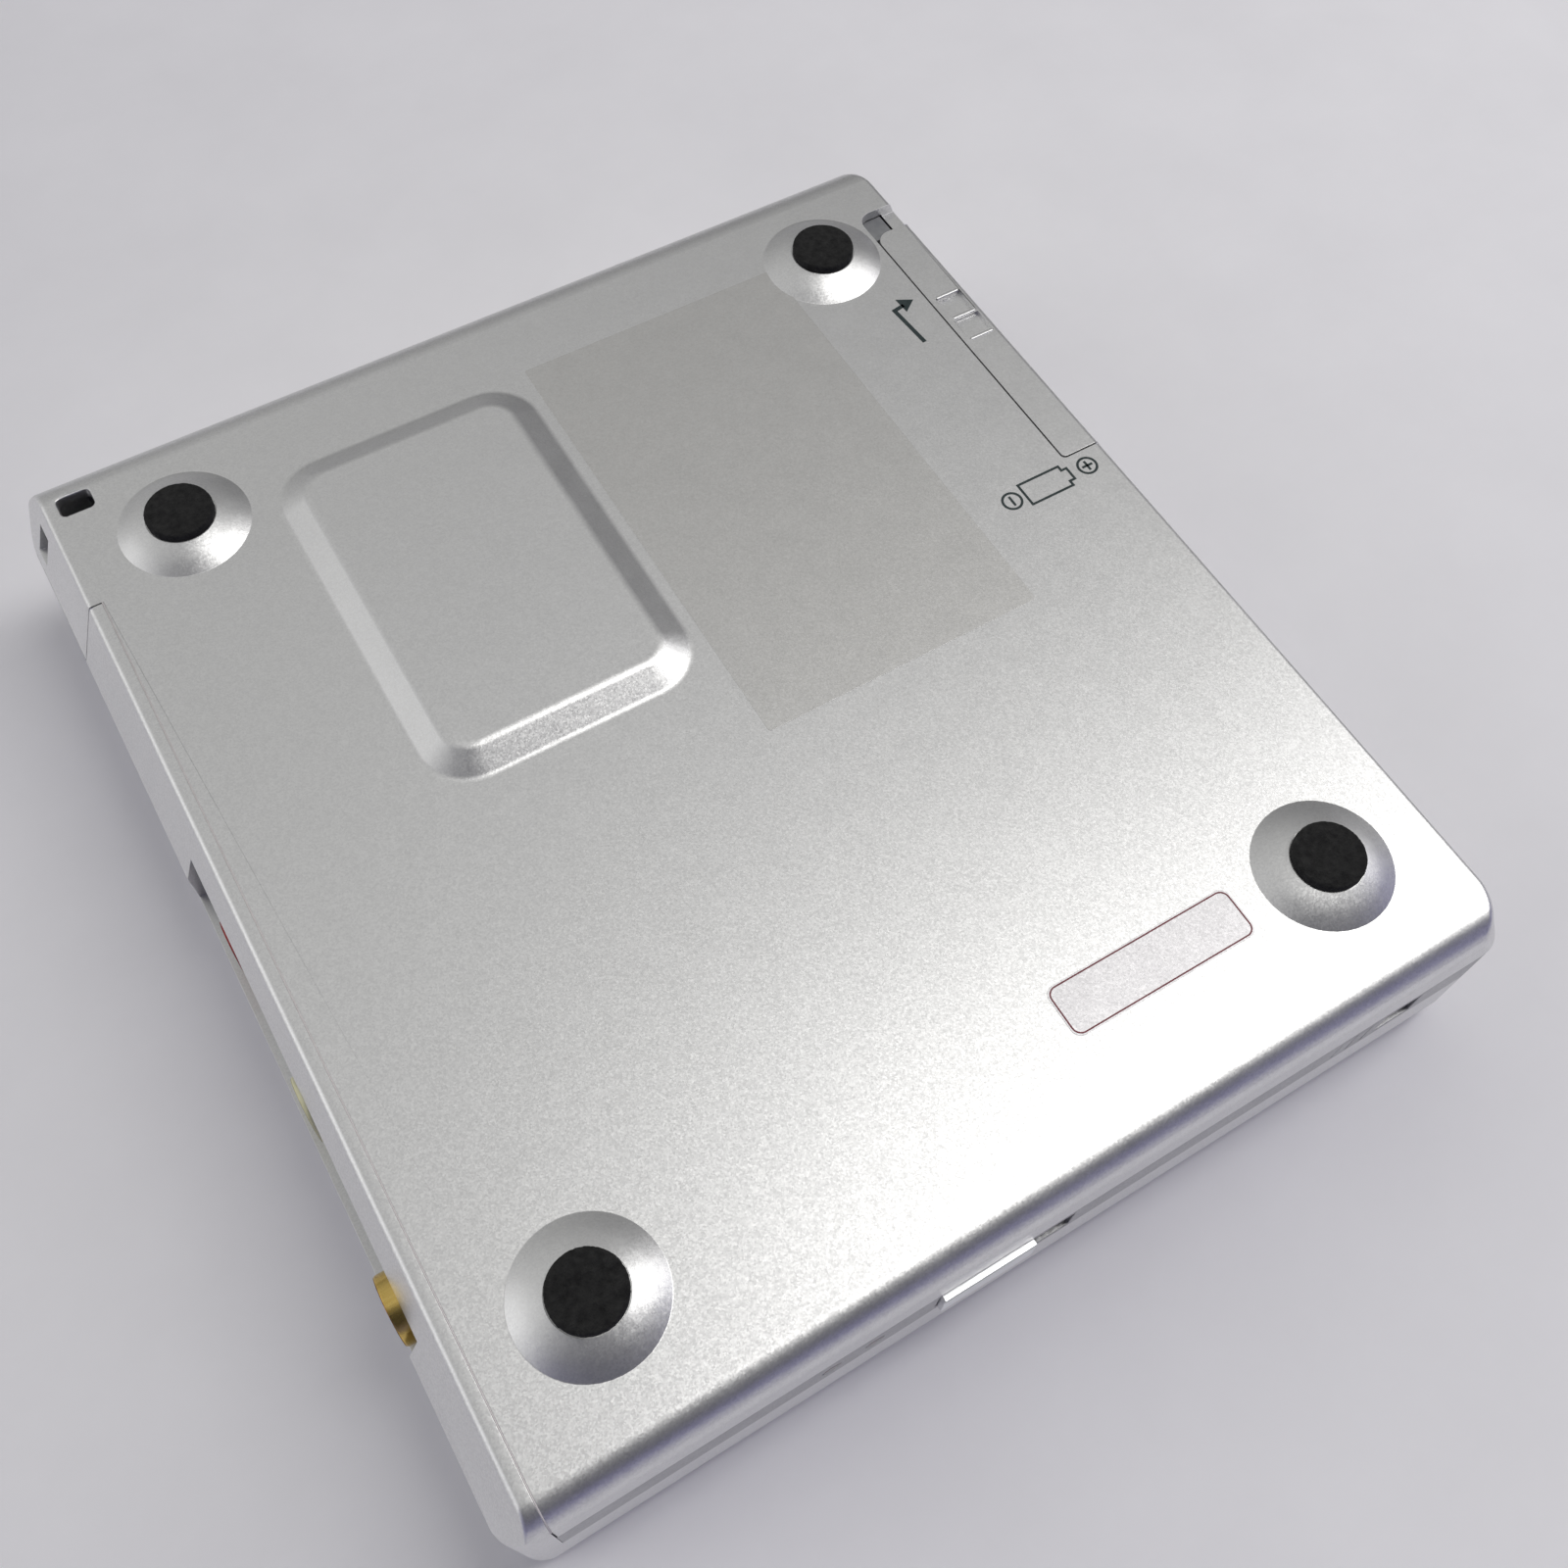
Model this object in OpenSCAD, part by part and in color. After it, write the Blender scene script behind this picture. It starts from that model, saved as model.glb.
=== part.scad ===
// Pocket disc recorder lying on its lid, with its underside and feet up.
// X runs along the opening side, Y towards the lid hinge, Z up out of the bottom cover.

/* [Cartridge slot] */
// Width of the cartridge slot
slot_w = 68.4; // [68.2:0.1:69]
// Depth of the cartridge slot
slot_d = 72.2; // [72.1:0.1:73]
// Height of the cartridge slot
slot_h = 5.4; // [5.3:0.1:6]

/* [Case] */
// Slope of each side wall, from the bottom face out to the widest line
side_in = 2; // [1.4:0.1:2.2]
// Drop from the bottom face to the widest line
side_drop = 5; // [4:0.2:6]
// Rounding of the base's near long edge
near_r = 2; // [1.8:0.1:2.6]
// Rounding of the base's far long edge
far_r = 3.2; // [2.8:0.1:3.8]
// Rounding of the two long edges of the lid
lid_r = 3; // [2.4:0.1:3.4]
// Rounding of the plan corners
corner_r = 2.4; // [2:0.1:3.5]
// Sheet thickness of cover, lid and side panel
skin = 0.8; // [0.6:0.05:0.85]
// Thickness of the frame's outer band
band_t = 0.9; // [0.9:0.05:1.2]
// Depth kept behind the slot for the hinge
hinge_room = 5.8; // [5.8:0.1:7]
// Depth kept in front of the slot for the latch
latch_room = 2; // [2:0.1:3]

/* [Feet and raised panel] */
// Distance between feet, side to side
feet_w = 52.6; // [48:0.2:54]
// Distance between feet, near to far
feet_d = 61.2; // [56:0.2:62]
// Diameter of each dome
dome_d = 9.3; // [8:0.1:11]
// Height of each dome
dome_h = 1.35; // [1:0.05:1.4]
// Diameter of each rubber foot
pad_d = 4.8; // [4:0.1:5.4]
// Thickness of each rubber foot
pad_t = 0.65; // [0.5:0.05:1]
// Width of the raised panel at its base
panel_w = 20.3; // [14:0.1:22]
// Depth of the raised panel at its base
panel_d = 30; // [20:0.5:32]
// Height of the raised panel
panel_h = 1; // [0.6:0.1:1.2]
// Run of the raised panel's slopes
panel_slope = 2.4; // [1.2:0.1:3]

/* [Cell and its door] */
// Length of the rechargeable cell
cell_l = 67; // [60:0.5:68]
// Width of the cell
cell_w = 17; // [14:0.5:17.5]
// Thickness of the cell
cell_t = 6.1; // [5.8:0.1:7]
// Length of the cell door
door_l = 26; // [24:0.5:28]
// Width of the door's strip on the bottom face
door_strip = 3.1; // [2.8:0.1:3.4]
// Slide of the door before it swings
door_slide = 1.5; // [1:0.1:1.8]

/* [Sockets] */
// Radius of the socket bores
jack_r = 1.8; // [1.3:0.05:1.9]
// Depth of the socket bores
jack_depth = 11; // [8:0.5:11.5]
// Place of the headphone socket along the wall
headphone_y = -24.5; // [-27:0.5:-20]
// Place of the power socket along the wall
dc_y = -11; // [-12.5:0.5:-9.5]
// Place of the microphone socket along the wall
mic_y = 1; // [0:0.2:2]

/* [Drive] */
// Radius of the disc turntable
turntable_r = 5; // [4:0.1:5.4]
// Radius of the spindle motor
motor_r = 9; // [7:0.5:9.5]
// Radius of the pickup's main shaft
guide_r = 1; // [0.8:0.05:1.1]
// Travel of the pickup
pickup_travel = 15; // [10:0.5:15]
// Running clearance of shafts and pins
fit = 0.05; // [0.03:0.01:0.08]
// Teeth on the feed gear
gear_teeth = 16; // [14:1:18]

/* [Controls] */
// Diameter of the lid buttons
button_d = 6; // [4:0.2:6.6]
// Press travel of the lid buttons
button_press = 0.3; // [0.2:0.05:0.35]
// Width of the opening tab
knob_w = 6.7; // [5:0.1:7]
// Slide of the opening tab
knob_slide = 3; // [2:0.2:3.4]

/* [Hidden] */
$fn = 48;
eps = 0.01;
far_out = 100;
gap = 0.3;
seam = 0.1;
// Heights, stacked up from the lid's face on the table
lid_plate_t = 0.5;
lid_plate_top = skin + lid_plate_t;
arm_z = lid_plate_top + 0.25;
arm_t = 0.4;
holder_t = 0.4;
holder_z = arm_z + arm_t + 0.25;
slot_z = holder_z + holder_t;
lip_z = slot_z + slot_h;
split_z = lip_z - holder_t;
deck_z = lip_z + holder_t + 0.4;
deck_t = 0.6;
deck_top = deck_z + deck_t;
cell_z = deck_z + 0.4;
case_h = cell_z + cell_t + gap + skin;
cover_z = case_h - side_drop;
drive_z = deck_top + 2.3;
board_t = 0.6;
board_in = 5;
board_z = case_h - skin - 0.8 - board_t;
// Plan
side_room = holder_t + 1 + band_t;
case_w = max(slot_w + 2 * side_room, cell_l + 5);
face_w = case_w - 2 * side_in;
case_d = slot_d + hinge_room + latch_room;
wall_x = case_w / 2;
near_y = -case_d / 2;
far_y = case_d / 2;
slot_near = near_y + latch_room;
slot_far = slot_near + slot_d;
disc_y = slot_near + slot_d / 2;
ring_t = 0.85;
ring_in = band_t + ring_t;
ring_z = lip_z + holder_t + gap;
ring_top = board_z - gap;
// Lid hinge
hinge_y = far_y - 3.8;
hinge_z = split_z + 1;
pin_r = 1;
knuckle_r = 1.9;
hinge_sweep = norm([far_y - hinge_y, hinge_z - split_z]) + 0.15;
pin_out = wall_x - ring_in - 0.2;
boss_w = 3;
ear_w = 4;
ear_x = pin_out - boss_w - gap - ear_w;
holder_arm_w = 2;
holder_arm_x = ear_x - gap - holder_arm_w;
pin_in = holder_arm_x - 0.4;
// Left side panel and cell
panel_seam_x = -(face_w / 2 - 0.9);
panel_far = far_y - 13.1;
panel_near = near_y - 1;
cell_x = -wall_x + 2.8;
cell_y = far_y - 23;
bay_t = 0.6;
bay_near = cell_y - cell_w / 2 - gap - bay_t;
bay_far = cell_y + cell_w / 2 + gap;
door_y0 = cell_y - 12.1;
door_y1 = door_y0 + door_l;
door_x0 = face_w / 2 - door_strip;
door_z0 = cell_z - 0.1;
door_corner = 1.2;
door_near_corner = 0.4;
door_gap = 0.12;
door_swing = 0.9;
door_wall_swing = 0.6;
knuckle_h = 1.7;
pivot_r = 0.45;
pivot_knuckle = 0.9;
pivot_x = wall_x - skin - side_in * 0.45 - pivot_knuckle - gap;
pivot_y = door_y1 - pivot_knuckle;
door_wall_y1 = pivot_y - (wall_x - pivot_x) - 4 * gap;
pivot_z0 = cover_z + 0.4;
slider_z0 = hinge_z + knuckle_r + gap;
slider_h = 2.5;
slider_l = 3.5;
slider_x1 = pivot_x - 3.4;
slider_x0 = slider_x1 - 2.2;
cap_t = 0.5;
// Sockets
jack_w = 2 * jack_r + 1.8;
jack_z0 = deck_z;
jack_face = -wall_x + band_t + ring_t;
jack_back = jack_face + jack_depth + 1;
ring_lip = 0.45;
jack_ring_r = jack_r + ring_lip;
jack_z = ring_z + jack_ring_r + gap;
// How far each ring lies behind the wall's widest line
headphone_sink = 0.05;
dc_sink = 0.6;
mic_sink = 0.75;
// Drive
lens_out = 15;
lens_y = disc_y - lens_out;
carriage_d = 8.4;
carriage_x0 = -10;
carriage_x1 = 12.6;
carriage_z0 = deck_top + gap;
carriage_z1 = drive_z + 2;
guide_x = 10;
sub_x = -8;
sub_r = 0.75;
shaft_near = near_y + 2.6;
shaft_far = disc_y - 7;
screw_x = carriage_x1 + 2.9;
screw_r = 0.9;
thread_pitch = 1.5;
thread_d = 0.15;
pinion_teeth = 10;
tooth_pitch_r = 0.125;
gear_r = gear_teeth * tooth_pitch_r;
pinion_r = pinion_teeth * tooth_pitch_r;
tooth_out = 0.18;
tooth_in = 0.24;
gear_t = 1.4;
gear_y = shaft_far + gap;
pinion_x = screw_x + gear_r + pinion_r + 0.08;
feed_r = 2;
feed_l = 13;
bracket_t = 1;
lug_r = 2.3;
lug_z = deck_top + 1;
lug_h = 2;
post_r = 1.7;
screw_hole_r = 0.8;
head_r = 1.6;
head_t = 0.4;
lug_x = wall_x - 7;
lug_near = near_y + board_in + 1.8;
lugs = [[-lug_x, (mic_y + dc_y) / 2], [-lug_x, lug_near], [lug_x, lug_near], [lug_x, bay_near - 5]];
screw_bite = 1.6;
// Lid controls
control_w = 34;
control_y0 = -2;
control_y1 = 28;
button_y = 4;
buttons_x = [-12, -4, 4, 12];
cap_z = 0.15;
flange_t = 0.3;
flange_z = skin + 0.1;
flange_r = button_d / 2 + 0.5;
flex_t = 0.2;
flex_z = flange_z + flange_t + button_press + fit;
window_w = 28;
window_d = 12;
window_y = 20;
// Opening tab, latch, switch and lights on the near wall
knob_x = -8.4;
knob_z = split_z + 0.6;
knob_h = 2.6;
knob_out = 0.4;
knob_end = knob_x + knob_w + knob_slide;
knob_top = knob_z + knob_h;
latch_t = 0.6;
latch_y = near_y + band_t + 0.25;
hook_w = 2.4;
switch_x = 22.6;
switch_w = 3.6;
switch_slide = 3;
switch_end = switch_x + switch_w + switch_slide;
light_r = 0.6;
lights_x = [knob_x - 4.5, knob_x - 7.5];
light_z = (knob_z + knob_top) / 2;
// Bottom face and left wall
dome_ball = (dome_d * dome_d / 4 + dome_h * dome_h) / (2 * dome_h);
foot_seat = case_h + dome_h - dome_ball + sqrt(dome_ball * dome_ball - pad_d * pad_d / 4) - fit;
panel_r = 3.4;
panel_place = [-panel_w / 2, cell_y - 0.5, case_h];
strap_w = 2.4;
strap_d = 1.7;
strap_r = 0.4;
strap_x = -face_w / 2 + 1;
strap_y = far_y - 4.7;
port_y = mic_y + 4;
port_d = 2;
port_h = 1.4;
// The opening in the left side panel that frames the sockets
field_y0 = headphone_y - jack_ring_r - 2 * gap;
field_y1 = port_y + port_d + gap;
field_z1 = jack_z + jack_ring_r + fit;
// Catch, board, shield can, contacts and door grip
catch_w = 2;
catch_x = knob_x - hook_w - gap;
board_x = face_w / 2 - 1.5;
chip_t = 0.7;
chip_w = 7;
chip_x = -20;
chip_y = near_y + board_in + 0.2;
// Each chip: its corner, its side of the board and its plan
chips = [
    [chip_x, chip_y, 0, [chip_w, chip_w]],
    [chip_x, chip_y + 16, 0, [chip_w, chip_w + 3]],
    [chip_x - 1, chip_y + 31, 0, [chip_w + 1, chip_w + 1]],
    [chip_x + 6, chip_y + 5, 1, [chip_w + 5, chip_w + 5]],
    [chip_x + 24, chip_y + 13, 1, [chip_w + 2, chip_w + 2]],
    [chip_x + 36, chip_y + 1, 1, [chip_w - 1, chip_w + 3]]
];
can_x = 22.6;
can_y = near_y + 10;
can_w = 9;
can_l = 24;
can_h = 2.4;
can_t = 0.3;
cell_round = 1.2;
contact_w = 8;
grip_w = 2.2;
grip_depth = 0.35;
grip_y = [door_y0 + 13.1, door_y0 + 15.7];
// Chassis, spindle, lens, head and springs
deck_x = wall_x - ring_in - 2 * gap;
tab_t = 0.5;
feed_y = gear_y - gap - feed_l;
feed_shaft_r = 0.4;
lens_window = 11;
lens_r = 2;
lens_seat = deck_top + 1.3;
motor_h = 3;
spindle_r = 0.75;
table_z = lip_z - 1.1;
table_t = 0.8;
hub_r = 2.6;
nut_h = 2.4;
nut_w = 3;
lip_w = 1.8;
flange_far = hinge_y - knuckle_r - 2 * gap;
head_w = 5;
head_d = 5;
arm_l = 30;
shoe_w = 3;
spring_x = 22;
spring_w = 4;
leaf_t = 0.2;
leaf_l = 30;
spring_y = disc_y - 6;
latch_bay = 5;
spring_l = latch_bay - gap;

// A box between two corners
module block(a, b) {
    translate(a)
        cube(b - a);
}

// A flat rectangle with round corners, on its centre
module rounded(w, d, r) {
    square([w - 2 * r, d], center = true);
    square([w, d - 2 * r], center = true);
    for (x = [-1, 1], y = [-1, 1])
        translate([x * (w / 2 - r), y * (d / 2 - r)])
            circle(r);
}

// A cylinder along X or along Y, from its low end
module rod_x(a, l, r) {
    translate(a)
        rotate([0, 90, 0])
            cylinder(h = l, r = r);
}

module rod_y(a, l, r) {
    translate(a)
        rotate([-90, 0, 0])
            cylinder(h = l, r = r);
}

// The case's section across its long edges: half depth, heights, and roundings below, near and far
module end_profile(half, z0, z1, r0, r1, r2) {
    translate([-half, z0 + r0])
        square([half, z1 - r1 - z0 - r0]);
    translate([-eps, z0 + r0])
        square([half + eps, z1 - r2 - z0 - r0]);
    translate([-half + r0, z0])
        square([2 * (half - r0), z1 - max(r1, r2) - z0]);
    translate([-half + r1, z0 + r0])
        square([2 * half - r1 - r2, z1 - z0 - r0]);
    for (y = [-1, 1])
        translate([y * (half - r0), z0 + r0])
            circle(r0);
    translate([-half + r1, z1 - r1])
        circle(r1);
    translate([half - r2, z1 - r2])
        circle(r2);
}

// The whole closed case as one solid, drawn in by t on every side
module case_solid(t) {
    half = wall_x - t;
    face = face_w / 2 - t;
    lid_in = 1.2;
    lid_rise = 2.4;
    intersection() {
        rotate([90, 0, 0])
            linear_extrude(case_d + 2, center = true)
                polygon([
                    [-face, case_h - t], [-half, cover_z], [-half, lid_rise], [-half + lid_in, t],
                    [half - lid_in, t], [half, lid_rise], [half, cover_z], [face, case_h - t]
                ]);
        rotate([90, 0, 90])
            linear_extrude(case_w + 2, center = true)
                end_profile(case_d / 2 - t, t, case_h - t, lid_r - t, max(near_r - t, fit), far_r - t);
        linear_extrude(case_h)
            rounded(case_w - 2 * t, case_d - 2 * t, corner_r - t);
    }
}

// The case's wall between two depths and two heights
module case_wall(outer, inner, z0, z1) {
    intersection() {
        difference() {
            case_solid(outer);
            case_solid(inner);
        }
        block([-far_out, -far_out, z0], [far_out, far_out, z1]);
    }
}

// The space of the left side panel, widened by c
module side_panel_space(c) {
    block([-far_out, panel_near - c, split_z - 1], [panel_seam_x + c, panel_far + c, case_h + 1]);
}

// The space of the cell door, widened by c: its strip on the face and its wall, longer by more
module door_space(c, strip_more, wall_more) {
    w = 2 * (wall_x - door_x0 + c);
    for (q = [[case_h - skin, door_y1 + strip_more], [door_z0, door_wall_y1 + wall_more]]) {
        l = q[1] - door_y0 + 2 * c;
        translate([wall_x, door_y0 - c, q[0] - c])
            linear_extrude(case_h) {
                translate([0, l / 2])
                    rounded(w, l, door_corner);
                translate([0, l / 4])
                    rounded(w, l / 2, door_near_corner);
            }
    }
}

// One rounded frustum for the raised panel, on its base's centre
module panel_form(grow) {
    base = [panel_w + 2 * grow, panel_d + 2 * grow];
    top = base - 2 * [panel_slope, panel_slope];
    hull() {
        linear_extrude(eps)
            rounded(base[0], base[1], panel_r + grow);
        translate([0, 0, panel_h])
            linear_extrude(eps)
                rounded(top[0], top[1], panel_r - panel_slope / 2 + grow);
    }
}

// A ball cap that stands on the bottom face
module dome(r, z) {
    ball = (r * r + dome_h * dome_h) / (2 * dome_h);
    intersection() {
        translate([0, 0, z + dome_h - ball])
            sphere(ball);
        translate([0, 0, z - seam])
            cylinder(h = dome_h + seam, r = r);
    }
}

module at_feet() {
    for (x = [-1, 1], y = [-1, 1])
        translate([x * feet_w / 2, y * feet_d / 2, 0])
            children();
}

module bottom_cover() {
    color("silver")
        difference() {
            union() {
                case_wall(0, skin, cover_z + seam, case_h);
                at_feet()
                    dome(dome_d / 2, case_h);
                translate(panel_place - [0, 0, eps])
                    panel_form(0);
            }
            at_feet()
                dome(dome_d / 2 - skin, case_h - skin);
            translate(panel_place - [0, 0, skin])
                panel_form(-skin / 2);
            at_feet()
                translate([0, 0, foot_seat])
                    cylinder(h = 2 * dome_h, r = pad_d / 2 + fit);
            side_panel_space(seam);
            door_space(door_gap, door_slide + door_swing, door_slide + door_wall_swing);
            // Strap passage: one hole in the face and one in the side wall
            translate([strap_x + strap_w / 2, strap_y + strap_d / 2, case_h - 2 * skin])
                linear_extrude(case_h)
                    rounded(strap_w, strap_d, strap_r);
            block([-far_out, strap_y, cover_z + 1], [-wall_x + 3, strap_y + strap_d, cover_z + 1 + strap_w]);
        }
}

module rubber_feet() {
    color("#1a1a1a")
        at_feet()
            translate([0, 0, foot_seat])
                cylinder(h = pad_t, r = pad_d / 2);
}

// Near-wall openings for the tab, the switch and the lights
module near_wall_cuts() {
    for (q = [[knob_x, knob_end], [switch_x, switch_end]])
        block([q[0] - seam, -far_out, knob_z - seam], [q[1] + seam, slot_near, knob_top + seam]);
    for (x = lights_x)
        rod_y([x, near_y - 1, light_z], 2 * latch_room, light_r + fit);
}

// Openings in the frame for the sockets' rings and the light port
module socket_cuts() {
    for (y = [headphone_y, dc_y, mic_y])
        rod_x([-far_out, y, jack_z], far_out - wall_x + ring_in + 1, jack_ring_r + fit);
    block([-far_out, port_y, jack_z - port_h / 2], [jack_face + 1, port_y + port_d, jack_z + port_h / 2]);
}

module base_frame() {
    color("#b4b6b9")
        difference() {
            union() {
                difference() {
                    case_wall(0, band_t, split_z, cover_z);
                    side_panel_space(0);
                }
                case_wall(band_t, ring_in, ring_z, ring_top);
                // Cell bay: floor and two long walls
                block([-wall_x + ring_in - eps, bay_near, ring_z],
                    [wall_x - ring_in + eps, bay_far + bay_t, cell_z]);
                intersection() {
                    for (y = [bay_near, bay_far])
                        block([-wall_x, y, ring_z], [wall_x - ring_in - 2.6, y + bay_t, board_z - gap]);
                    case_solid(band_t + eps);
                }
                // Bosses that hold the hinge pins
                for (x = [-pin_out, pin_out - boss_w])
                    intersection() {
                        union() {
                            rod_x([x, hinge_y, hinge_z], boss_w, knuckle_r);
                            block([x, hinge_y, hinge_z], [x + boss_w, far_y, hinge_z + knuckle_r]);
                        }
                        case_solid(band_t + eps);
                    }
                // Round ends of the band that turn in the lid's side walls
                intersection() {
                    for (x = [-wall_x, wall_x - band_t])
                        rod_x([x, hinge_y, hinge_z], band_t, hinge_sweep - seam);
                    case_solid(0);
                    block([-far_out, -far_out, 0], [far_out, far_out, cover_z]);
                }
                // Lugs that carry the chassis
                for (p = lugs)
                    intersection() {
                        union() {
                            translate([p[0], p[1], lug_z])
                                cylinder(h = lug_h, r = lug_r);
                            translate([p[0] + (p[0] > 0 ? 0 : -far_out), p[1] - lug_r, lug_z])
                                cube([far_out, 2 * lug_r, lug_h]);
                            translate([p[0], p[1], lug_z])
                                cylinder(h = board_z - lug_z, r = post_r);
                        }
                        case_solid(band_t + eps);
                    }
            }
            near_wall_cuts();
            socket_cuts();
            for (y = [headphone_y, dc_y, mic_y])
                block([jack_face - eps, y - jack_w / 2 - seam, jack_z0 - seam],
                    [jack_back, y + jack_w / 2 + seam, case_h]);
            // Latch and its tab behind the near wall
            block([knob_x - hook_w - 1, near_y + band_t, 0],
                [knob_end + latch_bay, slot_near + 1, knob_top + seam]);
            door_space(door_gap, door_slide + door_swing, door_slide + door_wall_swing);
            // Way in for the cell, and room for the door's slider
            block([cell_x - gap / 2, bay_near + bay_t, cell_z], [far_out, bay_far, case_h]);
            block([slider_x0 - gap, pivot_y - slider_l, slider_z0 - seam],
                [wall_x - band_t, pivot_y + slider_l + door_slide + gap, case_h]);
            rod_x([-pin_out, hinge_y, hinge_z], 2 * pin_out, pin_r);
            for (p = lugs)
                translate([p[0], p[1], 0])
                    cylinder(h = case_h, r = screw_hole_r);
            block([-far_out, strap_y - seam, cover_z], [-wall_x + 5, far_y - band_t, case_h]);
        }
}

module left_side_panel() {
    color("silver")
        difference() {
            intersection() {
                case_wall(0, skin, split_z, case_h);
                side_panel_space(0);
            }
            block([-far_out, field_y0, ring_z], [panel_seam_x, field_y1, field_z1]);
        }
}

module hinge_pins() {
    color("#c8ccd0")
        for (s = [-1, 1])
            rod_x([s > 0 ? pin_in : -pin_out, hinge_y, hinge_z], pin_out - pin_in, pin_r);
}

// The lid button's round places
module at_button(i) {
    translate([buttons_x[i], button_y, 0])
        children();
}

module lid_panel() {
    color("silver")
        difference() {
            case_wall(0, skin, 0, split_z - seam);
            rod_x([-far_out / 2, hinge_y, hinge_z], far_out, hinge_sweep);
            for (i = [0:3])
                at_button(i)
                    translate([0, 0, -1])
                        cylinder(h = 2 * skin + 1, r = button_d / 2 + seam);
            block([-window_w / 2, window_y - window_d / 2, -1],
                [window_w / 2, window_y + window_d / 2, 2 * skin]);
        }
}

module lid_frame() {
    color("#9a9da1")
        difference() {
            intersection() {
                case_solid(skin + fit);
                union() {
                    block([-far_out, -far_out, skin], [far_out, far_out, lid_plate_top]);
                    block([-control_w / 2 - 1, control_y0 - 1, skin],
                        [control_w / 2 + 1, control_y1 + 1, flex_z]);
                    // Catch beside the latch hook, and its foot
                    block([catch_x - catch_w, latch_y, skin], [catch_x, latch_y + latch_t, split_z - 1]);
                    block([catch_x - catch_w, latch_y, skin],
                        [catch_x, latch_y + 4 * latch_t, holder_z - gap]);
                    // Ears of the lid hinge
                    for (x = [-ear_x - ear_w, ear_x]) {
                        block([x, hinge_y - knuckle_r / 2, skin],
                            [x + ear_w, hinge_y + knuckle_r / 2, hinge_z]);
                        rod_x([x, hinge_y, hinge_z], ear_w, knuckle_r);
                    }
                }
            }
            block([-control_w / 2, control_y0, 0], [control_w / 2, control_y1, split_z]);
            rod_x([-pin_out, hinge_y, hinge_z], 2 * pin_out, pin_r + fit);
        }
}

module display_window() {
    color("#23282c")
        block([-window_w / 2 + fit, window_y - window_d / 2 + fit, cap_z],
            [window_w / 2 - fit, window_y + window_d / 2 - fit, flange_z]);
}

module display_module() {
    color("#5b6a5e")
        block([-window_w / 2 - 1, window_y - window_d / 2 - 1, flange_z],
            [window_w / 2 + 1, window_y + window_d / 2 + 1, flex_z]);
}

module control_flex() {
    color("#b87830")
        block([-control_w / 2 - 1, control_y0 - 1, flex_z],
            [control_w / 2 + 1, control_y1 + 1, flex_z + flex_t]);
}

// A round lid button: its cap stands in the panel and its flange stays inside
module lid_button(i) {
    at_button(i) {
        translate([0, 0, cap_z])
            cylinder(h = flange_z - cap_z, r = button_d / 2);
        translate([0, 0, flange_z])
            cylinder(h = flange_t, r = flange_r);
    }
}

module back_button() {
    color("#d0d2d4")
        lid_button(0);
}

module play_button() {
    color("#d0d2d4")
        lid_button(1);
}

module stop_button() {
    color("#d0d2d4")
        lid_button(2);
}

module forward_button() {
    color("#d0d2d4")
        lid_button(3);
}

// A socket body behind the left wall, with its blind bore
module jack(y) {
    difference() {
        intersection() {
            block([jack_face, y - jack_w / 2, jack_z0], [jack_back, y + jack_w / 2, board_z]);
            case_solid(band_t + fit);
        }
        rod_x([jack_face - 1, y, jack_z], jack_depth + 1, jack_r);
    }
}

// The coloured ring round a socket's mouth
module jack_ring(y, sink) {
    difference() {
        rod_x([-wall_x + sink, y, jack_z], ring_in - sink, jack_ring_r);
        rod_x([-wall_x - 1, y, jack_z], ring_in + 2, jack_r + ring_lip / 2);
    }
}

module headphone_jack() {
    color("#202224")
        jack(headphone_y);
}

module mic_jack() {
    color("#202224")
        jack(mic_y);
}

module dc_jack() {
    color("#202224")
        jack(dc_y);
}

module headphone_ring() {
    color("#d8b24a")
        jack_ring(headphone_y, headphone_sink);
}

module mic_ring() {
    color("#c03028")
        jack_ring(mic_y, mic_sink);
}

module dc_ring() {
    color("#e0c23a")
        jack_ring(dc_y, dc_sink);
}

module light_port() {
    color("#101214")
        block([-wall_x + mic_sink, port_y + fit, jack_z - port_h / 2 + fit],
            [jack_face + 1 - fit, port_y + port_d - fit, jack_z + port_h / 2 - fit]);
}

module main_board() {
    color("#1f5a3a")
        difference() {
            block([-board_x, near_y + board_in, board_z], [board_x, bay_near, board_z + board_t]);
            for (p = lugs)
                translate([p[0], p[1], board_z - 1])
                    cylinder(h = board_t + 2, r = screw_hole_r);
        }
}

module board_chips() {
    color("#222426")
        for (c = chips)
            translate([c[0], c[1], c[2] > 0 ? board_z + board_t : board_z - chip_t])
                linear_extrude(chip_t)
                    square(c[3]);
}

module shield_can() {
    color("#c4c8cc")
        difference() {
            block([can_x, can_y, board_z - can_h], [can_x + can_w, can_y + can_l, board_z]);
            block([can_x + can_t, can_y + can_t, board_z - can_h + can_t],
                [can_x + can_w - can_t, can_y + can_l - can_t, board_z + 1]);
        }
}

// Pan-head screw with its head at the low end
module screw(l) {
    cylinder(h = head_t, r = head_r);
    cylinder(h = l, r = screw_hole_r);
}

module board_screws() {
    color("#8d9094")
        for (p = lugs)
            translate([p[0], p[1], board_z + board_t + head_t])
                mirror([0, 0, 1])
                    screw(head_t + board_t + screw_bite);
}

module chassis_screws() {
    color("#8d9094")
        for (p = lugs)
            translate([p[0], p[1], deck_z - head_t])
                screw(lug_z + screw_bite - deck_z + head_t);
}

module dampers() {
    color("#2a2a2c")
        for (p = lugs)
            translate([p[0], p[1], deck_top])
                difference() {
                    cylinder(h = lug_z - deck_top, r = lug_r - 0.2);
                    translate([0, 0, -1])
                        cylinder(h = lug_z, r = screw_hole_r);
                }
}

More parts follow.
